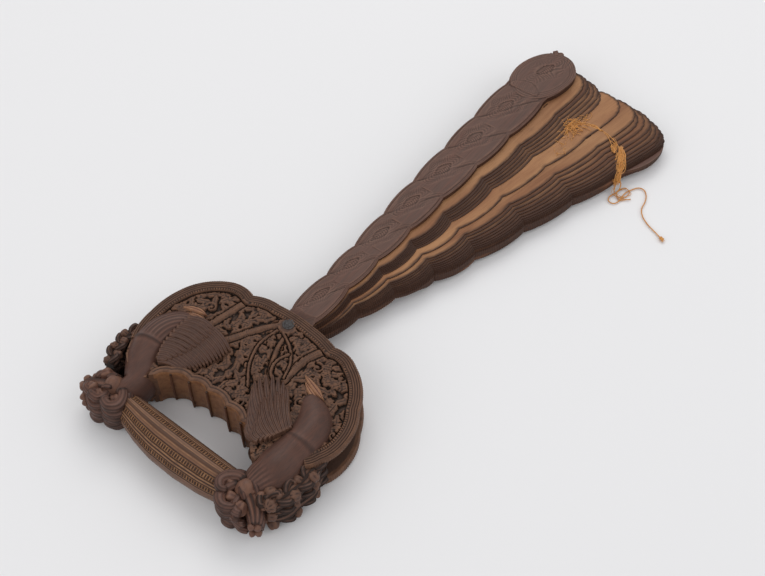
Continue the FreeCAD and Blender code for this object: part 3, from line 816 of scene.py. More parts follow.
PLAN = densify(LOBE, 0.25).tolist() + [(54.0, -64.0), (44.0, -69.0), (36.0, -68.0), (32.0, -64.0)] \
    + densify(FLUTES, 0.25).tolist() + [(-35.0, -68.0), (-45.0, -69.0), (-53.0, -63.0)]
PLAN = np.array(PLAN)
LOBE_D = densify(LOBE, 0.2)
FLUTE_D = densify(FLUTES, 0.2)


def inside_rows(poly_pts, xs, ys):
    """Grid mask, rows along y, of points inside a polygon."""
    p = np.asarray(poly_pts)
    q = np.roll(p, -1, 0)
    mask = np.zeros((len(ys), len(xs)), bool)
    for r, y in enumerate(ys):
        hit = (p[:, 1] > y) != (q[:, 1] > y)
        if not hit.any():
            continue
        xc = p[hit, 0] + (y - p[hit, 1]) / (q[hit, 1] - p[hit, 1]) * (q[hit, 0] - p[hit, 0])
        mask[r] = (np.searchsorted(np.sort(xc), xs) % 2) == 1
    return mask


def nearest(curve, pts):
    """Distance and index of the nearest curve point, chunked."""
    c = np.asarray(curve)
    dist = np.empty(len(pts))
    idx = np.empty(len(pts), int)
    for s in range(0, len(pts), 4000):
        d = ((pts[s:s + 4000, None, :] - c[None]) ** 2).sum(2)
        idx[s:s + 4000] = d.argmin(1)
        dist[s:s + 4000] = np.sqrt(d.min(1))
    return dist, idx


def grid_plate(poly_pts, step):
    p = np.asarray(poly_pts)
    xs = np.arange(p[:, 0].min() - step, p[:, 0].max() + step, step)
    ys = np.arange(p[:, 1].min() - step, p[:, 1].max() + step, step)
    m = inside_rows(p, xs, ys)
    cell = m[:-1, :-1] & m[:-1, 1:] & m[1:, :-1] & m[1:, 1:]
    # drop cells that hang on by a corner only
    for _ in range(2):
        pad = np.pad(cell, 1)
        nb = pad[:-2, 1:-1].astype(int) + pad[2:, 1:-1] + pad[1:-1, :-2] + pad[1:-1, 2:]
        cell &= nb >= 2
    ids = -np.ones(m.shape, int)
    used = np.zeros(m.shape, bool)
    used[:-1, :-1] |= cell
    used[:-1, 1:] |= cell
    used[1:, :-1] |= cell
    used[1:, 1:] |= cell
    ids[used] = np.arange(used.sum())
    gy, gx = np.nonzero(used)
    xy = np.stack([xs[gx], ys[gy]], 1)
    cy, cx = np.nonzero(cell)
    faces = np.stack([ids[cy, cx], ids[cy, cx + 1], ids[cy + 1, cx + 1], ids[cy + 1, cx]], 1)
    full = np.zeros(m.shape, int)
    full[:-1, :-1] += cell
    full[:-1, 1:] += cell
    full[1:, :-1] += cell
    full[1:, 1:] += cell
    rim = full[gy, gx] < 4
    dense = densify(p, step * 0.25, closed=True)
    _, k = nearest(dense, xy[rim])
    xy[rim] = dense[k]
    # relax the first inner rows towards their neighbours
    n = len(xy)
    e = np.vstack([faces[:, [0, 1]], faces[:, [1, 2]], faces[:, [2, 3]], faces[:, [3, 0]]])
    near, _ = nearest(dense[::4], xy)
    soft = (near < step * 2.2) & ~rim
    for _ in range(4):
        s = np.zeros((n, 2))
        c = np.zeros(n)
        for a, b in ((0, 1), (1, 0)):
            np.add.at(s, e[:, a], xy[e[:, b]])
            np.add.at(c, e[:, a], 1)
        avg = s / np.maximum(c, 1)[:, None]
        xy[soft] = 0.5 * xy[soft] + 0.5 * avg[soft]
    return xy, [tuple(f) for f in faces]


# ------------------------------------------------------------------ grip: carved relief
def path_dist(xy, pts, n=60):
    c = smooth_curve(pts, n)
    d, k = nearest(c, xy)
    return d, k / (n - 1.0)


WING_L = [(-48, -52), (-38, -30), (-24, -26), (-10, -31), (-18, -46), (-30, -58)]
WING_R = [(42, -52), (40, -30), (27, -28), (7, -31), (16, -46), (30, -60)]


def cheek_relief(xy, seed):
    rg = np.random.default_rng(seed)
    x, y = xy[:, 0], xy[:, 1]
    d_out, k_out = nearest(LOBE_D, xy)
    s_out = k_out * 0.2
    d_hole, k_hole = nearest(FLUTE_D, xy)
    s_hole = k_hole * 0.2
    h = np.full(len(xy), -2.7)

    def put(mask, val):
        h[mask] = np.maximum(h[mask], val)

    # stems: short scrolls
    field_pts = []
    tries = rg.uniform([-57, -67], [62, 3], size=(11000, 2))
    fo, _ = nearest(LOBE_D[::4], tries)
    fh, _ = nearest(FLUTE_D[::4], tries)
    inside = inside_pts(PLAN, tries)
    for p, a, b, ins in zip(tries, fo, fh, inside):
        if not ins or a < 6.6 or b < 4.4:
            continue
        if all((p[0] - q[0]) ** 2 + (p[1] - q[1]) ** 2 > 3.9 ** 2 for q in field_pts):
            field_pts.append(p)
    field_pts = np.array(field_pts)
    for j, c in enumerate(field_pts):
        ang = rg.uniform(0, 2 * math.pi)
        kind = rg.random()
        near = (np.abs(x - c[0]) < 8) & (np.abs(y - c[1]) < 8)
        lx, ly = x[near] - c[0], y[near] - c[1]
        if kind < 0.16:
            # open flower: petals round a button
            r = np.hypot(lx, ly)
            th = np.arctan2(ly, lx) + ang
            n = int(rg.integers(5, 8))
            R = rg.uniform(2.6, 3.8)
            edge = R * (0.72 + 0.28 * np.abs(np.cos(n * th / 2)))
            dome = -1.9 + 1.3 * np.sqrt(np.clip(1 - (r / edge - 0.25) ** 2, 0, 1)) - 0.35 * np.exp(-(np.sin(n * th / 2) / 0.18) ** 2)
            dome = np.where(r < 0.9, -0.55 + 0.3 * np.sqrt(np.clip(1 - (r / 0.9) ** 2, 0, 1)), dome)
            val = np.where(r < edge, dome, -9)
        elif kind < 0.26:
            # scroll: a curled stem with a round end
            r = np.hypot(lx, ly)
            th = (np.arctan2(ly, lx) + ang) % (2 * math.pi)
            rs = 1.0 + 2.3 * th / (2 * math.pi)
            dd = np.abs(r - rs)
            val = np.where(dd < 0.62, -1.5 + 0.75 * np.sqrt(np.clip(1 - (dd / 0.62) ** 2, 0, 1)), -9)
            val = np.where(r < 0.95, -0.75 + 0.3 * np.sqrt(np.clip(1 - (r / 0.95) ** 2, 0, 1)), val)
        else:
            # lobed leaf with a sunk vein, tilted so that it overlaps its neighbours
            ln, wd = rg.uniform(6.0, 9.6), rg.uniform(2.1, 3.3)
            u = (lx * math.cos(ang) + ly * math.sin(ang)) / ln + 0.5
            w = -lx * math.sin(ang) + ly * math.cos(ang) + 0.9 * (u - 0.5) ** 2 * (1 if rg.random() < 0.5 else -1)
            lobes = rg.integers(2, 4)
            W = wd * np.sin(math.pi * np.clip(u, 0, 1) ** 0.8) ** 0.8 * (1 - 0.34 * np.abs(np.cos(lobes * math.pi * u)))
            W = np.maximum(W, 1e-3)
            q = np.abs(w) / W
            tilt = -2.0 + rg.uniform(0.9, 1.5) * np.clip(u, 0, 1)
            prof = tilt + 0.5 * np.sqrt(np.clip(1 - q ** 2, 0, 1)) - 0.42 * np.exp(-(w / 0.26) ** 2) \
                - 0.24 * np.abs(np.cos(5 * math.pi * u + 1.5 * q)) * sstep(0.1, 0.35, q)
            val = np.where((q < 1) & (u > 0) & (u < 1), prof, -9)
        h[near] = np.maximum(h[near], val)
    h = np.minimum(h, -0.35)

    # smooth beams
    def beam(pts, w0, w1, top):
        d, t = path_dist(xy, pts)
        wd = w0 + (w1 - w0) * t
        m = d < wd
        put(m, (top - 1.1 * (np.clip(d / wd, 0, 1)) ** 4)[m])
        g = (d > wd) & (d < wd + 0.7)
        h[g] = np.minimum(h[g], -2.2)
        # fine line near each side of the beam
        g = np.abs(d - wd * 0.68) < 0.25
        h[g & m] -= 0.26
        h[m] -= 0.12 * (0.5 + 0.5 * np.cos(2 * math.pi * t[m] * 26))
    beam([(-3.0, -1.5), (-9.0, -9.0), (-14.5, -18.5), (-21.5, -31.0)], 1.7, 2.1, -0.4)
    beam([(3.0, -1.5), (4.6, -13.0), (10.4, -25.0), (17.0, -34.0)], 1.2, 1.4, -0.25)
    beam([(-26.6, 1.5), (-28.5, -7.0), (-30.5, -17.0), (-32.5, -27.5)], 2.0, 1.9, -0.4)
    beam([(25.8, 2.0), (21.8, -7.0), (20.2, -16.0), (20.8, -27.0)], 2.3, 1.8, -0.4)
    # pair of thin ribs that close a pointed oval below the rivet
    for pts in ([(0.5, -5.0), (9.5, -10.0), (16.0, -17.0), (19.5, -26.0)], [(-2.5, -6.0), (-4.0, -18.0), (0.5, -30.0), (8.5, -40.0)],
                [(12.0, -13.5), (9.8, -20.0), (12.0, -27.0), (17.5, -31.0)]):
        d, t = path_dist(xy, pts)
        m = d < 0.75
        put(m, (-0.45 - 0.5 * (d / 0.75) ** 2)[m])
        g = (d >= 0.75) & (d < 1.2)
        h[g] = np.minimum(h[g], -2.2)
    # boss round the rivet
    r0 = np.hypot(x, y)
    put(r0 < 5.6, (-0.25 - 0.3 * (r0 / 5.6) ** 4)[r0 < 5.6])

    # seat of the moulded rim along the lobes
    wide = 6.2
    s = d_out
    m = s < wide
    h[m] = -1.3
    g = (s >= wide) & (s < wide + 0.55) & (h < -0.4)
    h[g] = np.minimum(h[g], -2.4)

    # border round the finger opening: two smooth reeds
    s = d_hole
    m = (s < 3.6) & (d_out > 7)
    brd = -0.15 + 0.35 * np.sqrt(np.clip(1 - ((s - 1.0) / 1.0) ** 2, 0, 1))
    brd = np.where(s > 1.9, -0.1 + 0.3 * np.sqrt(np.clip(1 - ((s - 2.7) / 0.85) ** 2, 0, 1)), brd)
    brd = np.where(s < 0.5, brd - 0.3 * (1 - s / 0.5), brd)
    h[m] = brd[m]
    return h


def inside_pts(poly_pts, pts):
    p = np.asarray(poly_pts)
    q = np.roll(p, -1, 0)
    out = np.zeros(len(pts), bool)
    for k, (a, b) in enumerate(pts):
        hit = (p[:, 1] > b) != (q[:, 1] > b)
        xc = p[hit, 0] + (b - p[hit, 1]) / (q[hit, 1] - p[hit, 1]) * (q[hit, 0] - p[hit, 0])
        out[k] = (xc > a).sum() % 2 == 1
    return out


def wall_levels(v, f, kind, n):
    return v, f, kind


STEP = 0.44
CH_XY, CH_F = grid_plate(PLAN, STEP)
REL = cheek_relief(CH_XY, 11)


def cheek(name, front, nodes=()):
    rel = REL
    hole = np.hypot(CH_XY[:, 0], CH_XY[:, 1]) < 2.05
    if front:
        v, f, kind = closed_plate(CH_XY, CH_F, 24.0 + rel, 20.02)
    else:
        xy = CH_XY * np.array([-1, 1]) if False else CH_XY
        v, f, kind = closed_plate(xy, CH_F, 5.98, 0.0 - rel * 0.999)
    mid = np.array([v[list(q), :2].mean(0) if k == 2 else (99, 99) for q, k in zip(f, kind)])
    wall = np.array(kind) == 2
    dd = np.full(len(f), 99.0)
    dd[wall], _ = nearest(FLUTE_D, mid[wall])
    fm = [1 if (w and d < 1.2) else 0 for w, d in zip(wall, dd)]
    return make(name, v, f, [M_CARVED, M_WALL], "handle", nodes, face_mat=fm, sharp=60)


cheek("grip_front_cheek", True, ["handle_block"])
cheek("grip_rear_cheek", False, ["handle_block"])

def rim_moulding(name, front):
    """Reeds, a worked outer roll and an inner row of beads, swept along the lobes."""
    st = 0.30
    c = densify(LOBE, st)
    n = len(c)
    t = np.gradient(c, axis=0)
    for _ in range(10):
        t[1:-1] = 0.5 * t[1:-1] + 0.25 * (t[:-2] + t[2:])
    t /= np.linalg.norm(t, axis=1)[:, None]
    inw = np.stack([t[:, 1], -t[:, 0]], 1)
    a = np.arange(n) * st
    s = np.concatenate([[0.0, 0.15, 0.35, 0.6], np.arange(0.9, 4.51, 0.144), np.linspace(4.62, 6.0, 12), [6.15, 6.35]])
    m = len(s)
    S, A = np.meshgrid(s, a)
    h = np.where(S < 0.9, -0.55 + 0.62 * np.sqrt(np.clip(1 - ((0.9 - S) / 0.9) ** 2, 0, 1)) - 0.16 * (0.5 + 0.5 * np.cos(2 * math.pi * A / 1.25)), 0.0)
    reed = -0.30 + 0.46 * np.abs(np.sin(math.pi * (S - 0.9) / 1.2)) ** 0.75
    h = np.where((S >= 0.9) & (S < 4.56), reed, h)
    bead = -0.42 + 0.62 * np.sqrt(np.clip(1 - ((S - 5.32) / 0.74) ** 2, 0, 1)) * np.abs(np.sin(math.pi * A / 1.6)) ** 0.6
    h = np.where((S >= 4.56) & (S < 6.1), bead, h)
    h = np.where(S >= 6.1, -0.9 - 2.0 * (S > 6.3), h)
    x = c[:, 0][:, None] + inw[:, 0][:, None] * S
    y = c[:, 1][:, None] + inw[:, 1][:, None] * S
    xy = np.stack([x.ravel(), y.ravel()], 1)
    faces = []
    for i in range(n - 1):
        for k in range(m - 1):
            q = i * m + k
            faces.append((q, q + m, q + m + 1, q + 1))
    area2 = 0.0
    q = faces[len(faces) // 2]
    for e in range(4):
        x0, y0 = xy[q[e]]
        x1, y1 = xy[q[(e + 1) % 4]]
        area2 += x0 * y1 - x1 * y0
    if area2 < 0:
        faces = [f[::-1] for f in faces]
    if front:
        v, f, kind = closed_plate(xy, faces, 24.15 + h.ravel(), 22.0)
    else:
        v, f, kind = closed_plate(xy, faces, 2.0, np.maximum(0.04 - (h.ravel() - 0.16), 0.02))
    return make(name, v, f, [M_CARVED], "handle", (), sharp=60)


rim_moulding("front_rim_moulding", True)
rim_moulding("rear_rim_moulding", False)

# ribbed edge of each cheek: a beaded band standing on the outline
def edge_beads(name, z0, z1, curve, period=1.25):
    c = densify(curve, 0.31)
    n = len(c)
    t = np.gradient(c, axis=0)
    t /= np.linalg.norm(t, axis=1)[:, None]
    nrm = np.stack([-t[:, 1], t[:, 0]], 1)          # outward for this running direction
    s = np.arange(n) * 0.31
    prof = [(-0.9, z0 + 0.25), (0.05, z0 + 0.1), (0.42, z0 + 0.9), (0.55, (z0 + z1) / 2), (0.42, z1 - 0.9), (0.05, z1 - 0.1), (-0.9, z1 - 0.25)]
    m = len(prof)
    v = []
    for i in range(n):
        b = 0.32 * abs(math.sin(math.pi * s[i] / period)) - 0.12
        for k, (o, z) in enumerate(prof):
            amp = b if 1 < k < m - 2 else 0.0
            v.append((c[i, 0] + nrm[i, 0] * (o + amp), c[i, 1] + nrm[i, 1] * (o + amp), z))
    f = []
    for i in range(n - 1):
        for k in range(m):
            a, b2 = i * m + k, i * m + (k + 1) % m
            f.append((a, b2, b2 + m, a + m))
    f.append(tuple(range(m))[::-1])
    f.append(tuple((n - 1) * m + k for k in range(m)))
    return make(name, v, f, [M_CARVED], "handle", (), sharp=60)


edge_beads("rear_edge_ribs", 0.3, 5.9, LOBE)
edge_beads("front_edge_ribs", 20.1, 23.6, LOBE)

# core between the cheeks: slot floor behind, fluted wall of the finger opening in front
CORE = [(-57.0, -56.0), (-52.0, -56.0), (-49.0, -45.0), (-48.0, -33.0), (-42.0, -22.0), (-32.0, -15.5), (-12.0, -13.0),
        (12.0, -13.0), (32.0, -15.5), (43.0, -22.0), (50.0, -31.0), (53.0, -40.0), (54.0, -56.0), (58.0, -57.0)]
corexy = CORE + [(54.0, -64.0), (44.0, -69.0), (36.0, -68.0), (32.0, -64.0)] + densify(FLUTES, 0.6).tolist() \
    + [(-35.0, -68.0), (-45.0, -69.0), (-53.0, -63.0)]
cp = [Vector(p) for p in corexy]
co, _, fa, *_ = delaunay_2d_cdt(cp, [(k, (k + 1) % len(cp)) for k in range(len(cp))], [], 1, 1e-6)
v, f, kind = closed_plate(np.array([[c.x, c.y] for c in co]), [tuple(q) for q in fa], 20.3, 5.7)
fm = []
for q, k in zip(f, kind):
    if k == 2:
        d0, _ = nearest(FLUTE_D, v[list(q), :2].mean(0)[None])
        fm.append(1 if d0[0] < 1.2 else 0)
    else:
        fm.append(0)
make("grip_core", v, f, [M_CARVED, M_WALL], "handle", ["handle_block"], face_mat=fm, smooth=True, sharp=35)

# sharp upright ribs where the flutes of the opening meet
ribs = []
for k in range(1, len(FL) - 1):
    a = np.array(FL[k])
    zz = np.linspace(1.0, 23.2, 30)
    pts = np.c_[np.full(30, a[0]), a[1] - 0.35 - 0.25 * np.sin((zz - 1) / 22.2 * math.pi), zz]
    ribs.append(tube(pts, np.full(30, 0.62), 16, 0, 0, 1.0))
v, f = join(ribs)
make("opening_ribs", v, f, [M_WALL], "handle", ["handle_block"], sharp=60)

# ------------------------------------------------------------------ grip bar
def grip_bar():
    n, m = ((340, 200))
    xs = np.linspace(-37.0, 40.0, n)
    st = np.array([(-40, -80.6, 6.6, 7.6), (-31, -81.8, 7.7, 8.8), (-20, -83.3, 9.2, 9.8), (-8, -84.3, 10.2, 10.7), (8, -84.5, 10.4, 10.8),
                   (24, -83.9, 9.8, 10.2), (33, -83.0, 9.0, 9.2), (42, -82.0, 8.0, 8.2)], float)
    cy = np.interp(xs, st[:, 0], st[:, 1])
    ry = np.interp(xs, st[:, 0], st[:, 2])
    rz = np.interp(xs, st[:, 0], st[:, 3])
    for a in (cy, ry, rz):
        for _ in range(60):
            a[1:-1] = 0.5 * a[1:-1] + 0.25 * (a[:-2] + a[2:])
    th = np.linspace(0, 2 * math.pi, m, endpoint=False)
    X = np.repeat(xs, m)
    TH = np.tile(th, n)
    # reeds: plain bands with fine grooves, and dentil rows front, top and back
    deg = np.degrees(TH) % 360
    rel = np.zeros_like(TH)
    per = 9.0
    rel += 0.20 * np.cos(2 * math.pi * deg / per) * (np.abs((deg % 90) - 45) < 29)
    for c0 in (62.0, 90.0, 118.0, 242.0, 270.0, 298.0, 0.0, 180.0, 152.0, 208.0, 332.0, 28.0):
        dc = np.abs((deg - c0 + 180) % 360 - 180)
        plain_band = c0 in (90.0, 270.0)
        if plain_band:
            rel = np.where(dc < 6, 0.35 * np.sqrt(np.clip(1 - (dc / 6) ** 2, 0, 1)), rel)
        elif c0 in (62.0, 118.0, 152.0, 208.0, 242.0, 298.0):
            tooth = np.where(np.sin(2 * math.pi * X / 1.5) > 0, 0.16, -0.30)
            rel = np.where(dc < 5.0, tooth, rel)
            rel = np.where((dc >= 5.0) & (dc < 6.6), -0.34, rel)
    cyX, ryX, rzX = np.repeat(cy, m), np.repeat(ry, m), np.repeat(rz, m)
    v = np.stack([X, cyX + (ryX + rel) * np.cos(TH), 12 + (rzX + rel) * np.sin(TH)], 1)
    f = []
    for i in range(n - 1):
        for k in range(m):
            a, b = i * m + k, i * m + (k + 1) % m
            f.append((a, a + m, b + m, b))
    f.append(tuple(range(m)))
    f.append(tuple((n - 1) * m + k for k in range(m))[::-1])
    return make("reeded_grip_bar", v, f, [M_BAR], "handle", ["grip_bar"], sharp=50)


grip_bar()

# ------------------------------------------------------------------ winged beasts
def loft(spine, rx, rz, n=70, m=44, zc=13.0, power=2.0, groove=None):
    """Round carved body along a plan curve: rx across, rz up and down."""
    sp = smooth_curve(np.asarray(spine, float), n)
    t = np.linspace(0, 1, n)
    k = np.linspace(0, 1, len(rx))
    RX = smooth_curve(np.stack([k, np.asarray(rx, float)], 1), n)[:, 1]
    RZ = smooth_curve(np.stack([k, np.asarray(rz, float)], 1), n)[:, 1]
    end = np.sqrt(np.clip(1 - np.clip((0.06 - t) / 0.06, 0, 1) ** 2, 0, 1)) * np.sqrt(np.clip(1 - np.clip((t - 0.94) / 0.06, 0, 1) ** 2, 0, 1))
    end = np.maximum(end, 0.05)
    RX, RZ = RX * end, RZ * end
    tan = np.gradient(sp, axis=0)
    tan /= np.linalg.norm(tan, axis=1)[:, None]
    side = np.stack([tan[:, 1], -tan[:, 0]], 1)
    th = np.linspace(0, 2 * math.pi, m, endpoint=False)
    c = np.sign(np.cos(th)) * np.abs(np.cos(th)) ** (2 / power)
    s = np.sign(np.sin(th)) * np.abs(np.sin(th)) ** (2 / power)
    v = []
    for i in range(n):
        g = groove(t[i], th) if groove else 0.0
        x = sp[i, 0] + side[i, 0] * (RX[i] + g) * c
        y = sp[i, 1] + side[i, 1] * (RX[i] + g) * c
        z = zc + (RZ[i] + g) * s
        v.append(np.stack([x, y, z], 1))
    v = np.vstack(v)
    f = []
    for i in range(n - 1):
        for j in range(m):
            a, b = i * m + j, i * m + (j + 1) % m
            f.append((a, b, b + m, a + m))
    f.append(tuple(range(m))[::-1])
    f.append(tuple((n - 1) * m + j for j in range(m)))
    v[:, 2] = np.maximum(v[:, 2], 0.03)
    return v, f


def ball(c, r, seed=0, petals=0, depth=0.0, n=22, squash=(1, 1, 1)):
    rg = np.random.default_rng(seed)
    ph = rg.uniform(0, 6.28, 3)
    v, f = [], []
    m = n * 2
    ax = rg.normal(size=3)
    ax /= np.linalg.norm(ax)
    q = np.cross(ax, [0.3, 0.5, 0.8])
    q /= np.linalg.norm(q)
    p = np.cross(ax, q)
    for i in range(1, n):
        a = math.pi * i / n
        for j in range(m):
            b = 2 * math.pi * j / m
            rr = r
            if petals:
                rr *= 1 + depth * (math.cos(petals * b + ph[0]) * math.sin(a) ** 0.7 + 0.5 * math.cos(5 * a + ph[1]))
            d = ax * math.cos(a) + (q * math.cos(b) + p * math.sin(b)) * math.sin(a)
            v.append(np.asarray(c) + d * rr * np.asarray(squash))
    top, bot = len(v), len(v) + 1
    v.append(np.asarray(c) + ax * r * 0.9 * np.asarray(squash))
    v.append(np.asarray(c) - ax * r * 0.9 * np.asarray(squash))
    for i in range(n - 2):
        for j in range(m):
            a, b = i * m + j, i * m + (j + 1) % m
            f.append((a, a + m, b + m, b))
    for j in range(m):
        f.append((top, j, (j + 1) % m))
        b0 = (n - 2) * m
        f.append((bot, b0 + (j + 1) % m, b0 + j))
    return np.array(v), f


def feather(root, ctrl, tip, w0, w1, z_root, z_tip, lines=2, thick=1.3, n=44, m=23, tilt=0.0, taper=0.62):
    """One carved feather: a domed strip with a sunk shaft line and fine grooves along it."""
    root, ctrl, tip = map(np.asarray, (root, ctrl, tip))
    u = np.linspace(0, 1, n)
    c = (1 - u)[:, None] ** 2 * root + 2 * ((1 - u) * u)[:, None] * ctrl + (u ** 2)[:, None] * tip
    tan = np.gradient(c, axis=0)
    tan /= np.linalg.norm(tan, axis=1)[:, None]
    side = np.stack([tan[:, 1], -tan[:, 0]], 1)
    W = (w0 + (w1 - w0) * u) * np.where(u > taper, np.sqrt(np.clip(1 - ((u - taper) / (1 - taper)) ** 2, 0, 1)), 1.0)
    W = np.maximum(W, 0.03)
    v = np.linspace(-1, 1, m)
    U, V = np.meshgrid(u, v, indexing="ij")
    X = c[:, 0][:, None] + side[:, 0][:, None] * W[:, None] * V
    Y = c[:, 1][:, None] + side[:, 1][:, None] * W[:, None] * V
    base = z_root + (z_tip - z_root) * U
    dome = thick * np.sqrt(np.clip(1 - np.abs(V) ** 2.2, 0, 1)) + tilt * V * np.minimum(W / max(w0, w1), 1)[:, None]
    gro = 0.20 * (0.5 + 0.5 * np.cos(2 * math.pi * lines * V)) * (np.abs(V) < 0.9) + 0.12 * np.exp(-(V / 0.09) ** 2)
    Z = base + dome - gro
    xy = np.stack([X.ravel(), Y.ravel()], 1)
    faces = []
    for i in range(n - 1):
        for j in range(m - 1):
            a = i * m + j
            faces.append((a, a + m, a + m + 1, a + 1))
    vv, ff, _ = closed_plate(xy, [q[::-1] for q in faces], Z.ravel(), base.ravel() - 2.6)
    return vv, ff


def along(poly_pts, t):
    p = np.asarray(poly_pts, float)
    return smooth_curve(p, 101)[int(round(t * 100))]


def wing(root_line, tips, bulges, widths, z_root, z_tip, lines=2, step_down=0.12, order=1, tilt=0.45):
    parts = []
    n = len(tips)
    for i in range(n):
        t = i / (n - 1)
        r = along(root_line, t)
        q = np.asarray(tips[i], float)
        mid = (r + q) / 2
        d = q - r
        nrm = np.array([-d[1], d[0]]) / np.linalg.norm(d)
        k = i if order > 0 else n - 1 - i
        b = bulges[0] + (bulges[1] - bulges[0]) * t
        parts.append(feather(r, mid + nrm * b, q, widths[0], widths[1], z_root - step_down * k, z_tip - step_down * k, lines, tilt=tilt))
    return parts


def to_rear(v, f):
    w = np.array(v, float)
    w[:, 2] = np.clip(0.1 + (27.6 - w[:, 2]) * 0.36, 0.05, 5.9)
    return w, [tuple(q[::-1]) for q in f]


def fine_lines(t, th):
    back = sstep(0.02, 0.08, t) * (1 - sstep(0.36, 0.42, t))
    collar = 0.55 * math.exp(-((t - 0.43) / 0.018) ** 2)
    return back * 0.13 * np.cos(34 * th) + collar


def neck_lines(t, th):
    return 0.10 * np.cos(30 * th) * sstep(0.74, 0.84, t) + 0.4 * math.exp(-((t - 0.45) / 0.02) ** 2)


# left beast
lb = loft([(-37.0, -26.5), (-44.5, -31.0), (-48.6, -38.5), (-49.2, -47.5), (-46.8, -56.0), (-42.0, -64.0), (-38.8, -71.0), (-40.5, -78.0), (-43.0, -82.0)],
          [5.4, 9.8, 11.2, 11.5, 10.8, 9.2, 7.4, 6.2, 4.6], [9.8, 12.6, 14.3, 14.9, 14.3, 13.0, 11.6, 10.6, 8.0], n=130, m=100, groove=fine_lines)
make("left_beast_body", *lb, [M_BODY_WITH_SHEEN], "handle", ["handle_block"], sharp=60)
# right beast
rb = loft([(33.0, -25.0), (41.0, -29.2), (48.0, -37.0), (49.8, -47.5), (49.2, -57.0), (48.8, -66.0), (46.6, -74.0), (45.0, -82.0)],
          [5.4, 9.6, 12.0, 12.4, 12.5, 12.7, 10.0, 6.4], [10.2, 12.8, 14.5, 15.0, 14.7, 14.9, 13.0, 10.0], n=130, m=100, groove=neck_lines)
make("right_beast_body", *rb, [M_BODY_WITH_SHEEN], "handle", ["handle_block"], sharp=60)

# wings: long flight feathers, then shorter coverts laid over their roots
def fan_tips(a, b, n, bow):
    """n points from a to b on a shallow bow, bow in mm away from the root."""
    a, b = np.asarray(a, float), np.asarray(b, float)
    t = np.linspace(0, 1, n)[:, None]
    d = b - a
    nrm = np.array([-d[1], d[0]]) / np.linalg.norm(d)
    return a + d * t + nrm * bow * 4 * t * (1 - t)


lw = wing([(-40.5, -29.0), (-41.0, -39.0), (-40.0, -49.0), (-36.0, -57.0)],
          fan_tips((-11.3, -31.2), (-24.0, -54.0), 16, 3.2),
          (7.5, 3.0), (1.5, 1.4), 24.9, 24.0, 1, 0.07, tilt=0.25)
lw += wing([(-42.0, -29.5), (-42.0, -39.0), (-40.5, -49.0), (-36.5, -57.0)],
           fan_tips((-26.0, -27.0), (-32.0, -54.6), 12, 2.6),
           (5.0, 1.5), (1.5, 1.45), 25.6, 24.8, 1, 0.05, tilt=0.2)
v, f = join(lw)
make("left_wing_feathers", v, f, [M_SMOOTH], "handle", ["handle_block"], sharp=50)
v, f = join([to_rear(*p) for p in lw])
make("left_wing_feathers_rear", v, f, [M_SMOOTH], "handle", ["handle_block"], sharp=50)

rw = wing([(41.0, -46.0), (40.0, -50.5), (37.5, -55.5), (33.5, -60.0)],
          [(25.2, -29.6), (21.6, -28.3), (18.0, -27.8), (14.8, -28.4), (12.0, -30.2), (10.2, -33.0), (10.0, -36.2), (11.6, -39.6), (14.0, -42.8), (17.0, -45.8), (20.4, -48.8), (24.2, -52.0)],
          (2.0, 8.5), (1.7, 1.6), 25.0, 24.4, 1, 0.08, tilt=0.3)
rw += wing([(42.0, -47.5), (40.5, -51.5), (38.0, -56.0), (34.5, -60.5)],
           [(29.6, -35.0), (26.4, -34.2), (23.4, -35.0), (21.0, -37.4), (20.4, -40.8), (21.6, -44.6), (24.0, -48.4), (27.0, -52.0), (30.0, -55.4)],
           (1.5, 5.5), (1.7, 1.6), 26.0, 25.5, 2, 0.08, tilt=0.3)
v, f = join(rw)
make("right_wing_feathers", v, f, [M_SMOOTH], "handle", ["handle_block"], sharp=50)
v, f = join([to_rear(*p) for p in rw])
make("right_wing_feathers_rear", v, f, [M_SMOOTH], "handle", ["handle_block"], sharp=50)


def lock(pts, r, ridges=9, depth=0.13, squash=1.0, nseg=54, n=60, zs=None):
    p = smooth_curve(np.asarray(pts, float), n)
    t = np.linspace(0, 1, n)
    k = np.linspace(0, 1, len(r))
    R = np.interp(t, k, r) * np.sqrt(np.clip(1 - np.clip((0.05 - t) / 0.05, 0, 1) ** 2, 0.01, 1)) \
        * np.sqrt(np.clip(1 - np.clip((t - 0.93) / 0.07, 0, 1) ** 2, 0.01, 1))
    return tube(p, R, nseg, ridges, depth, squash)


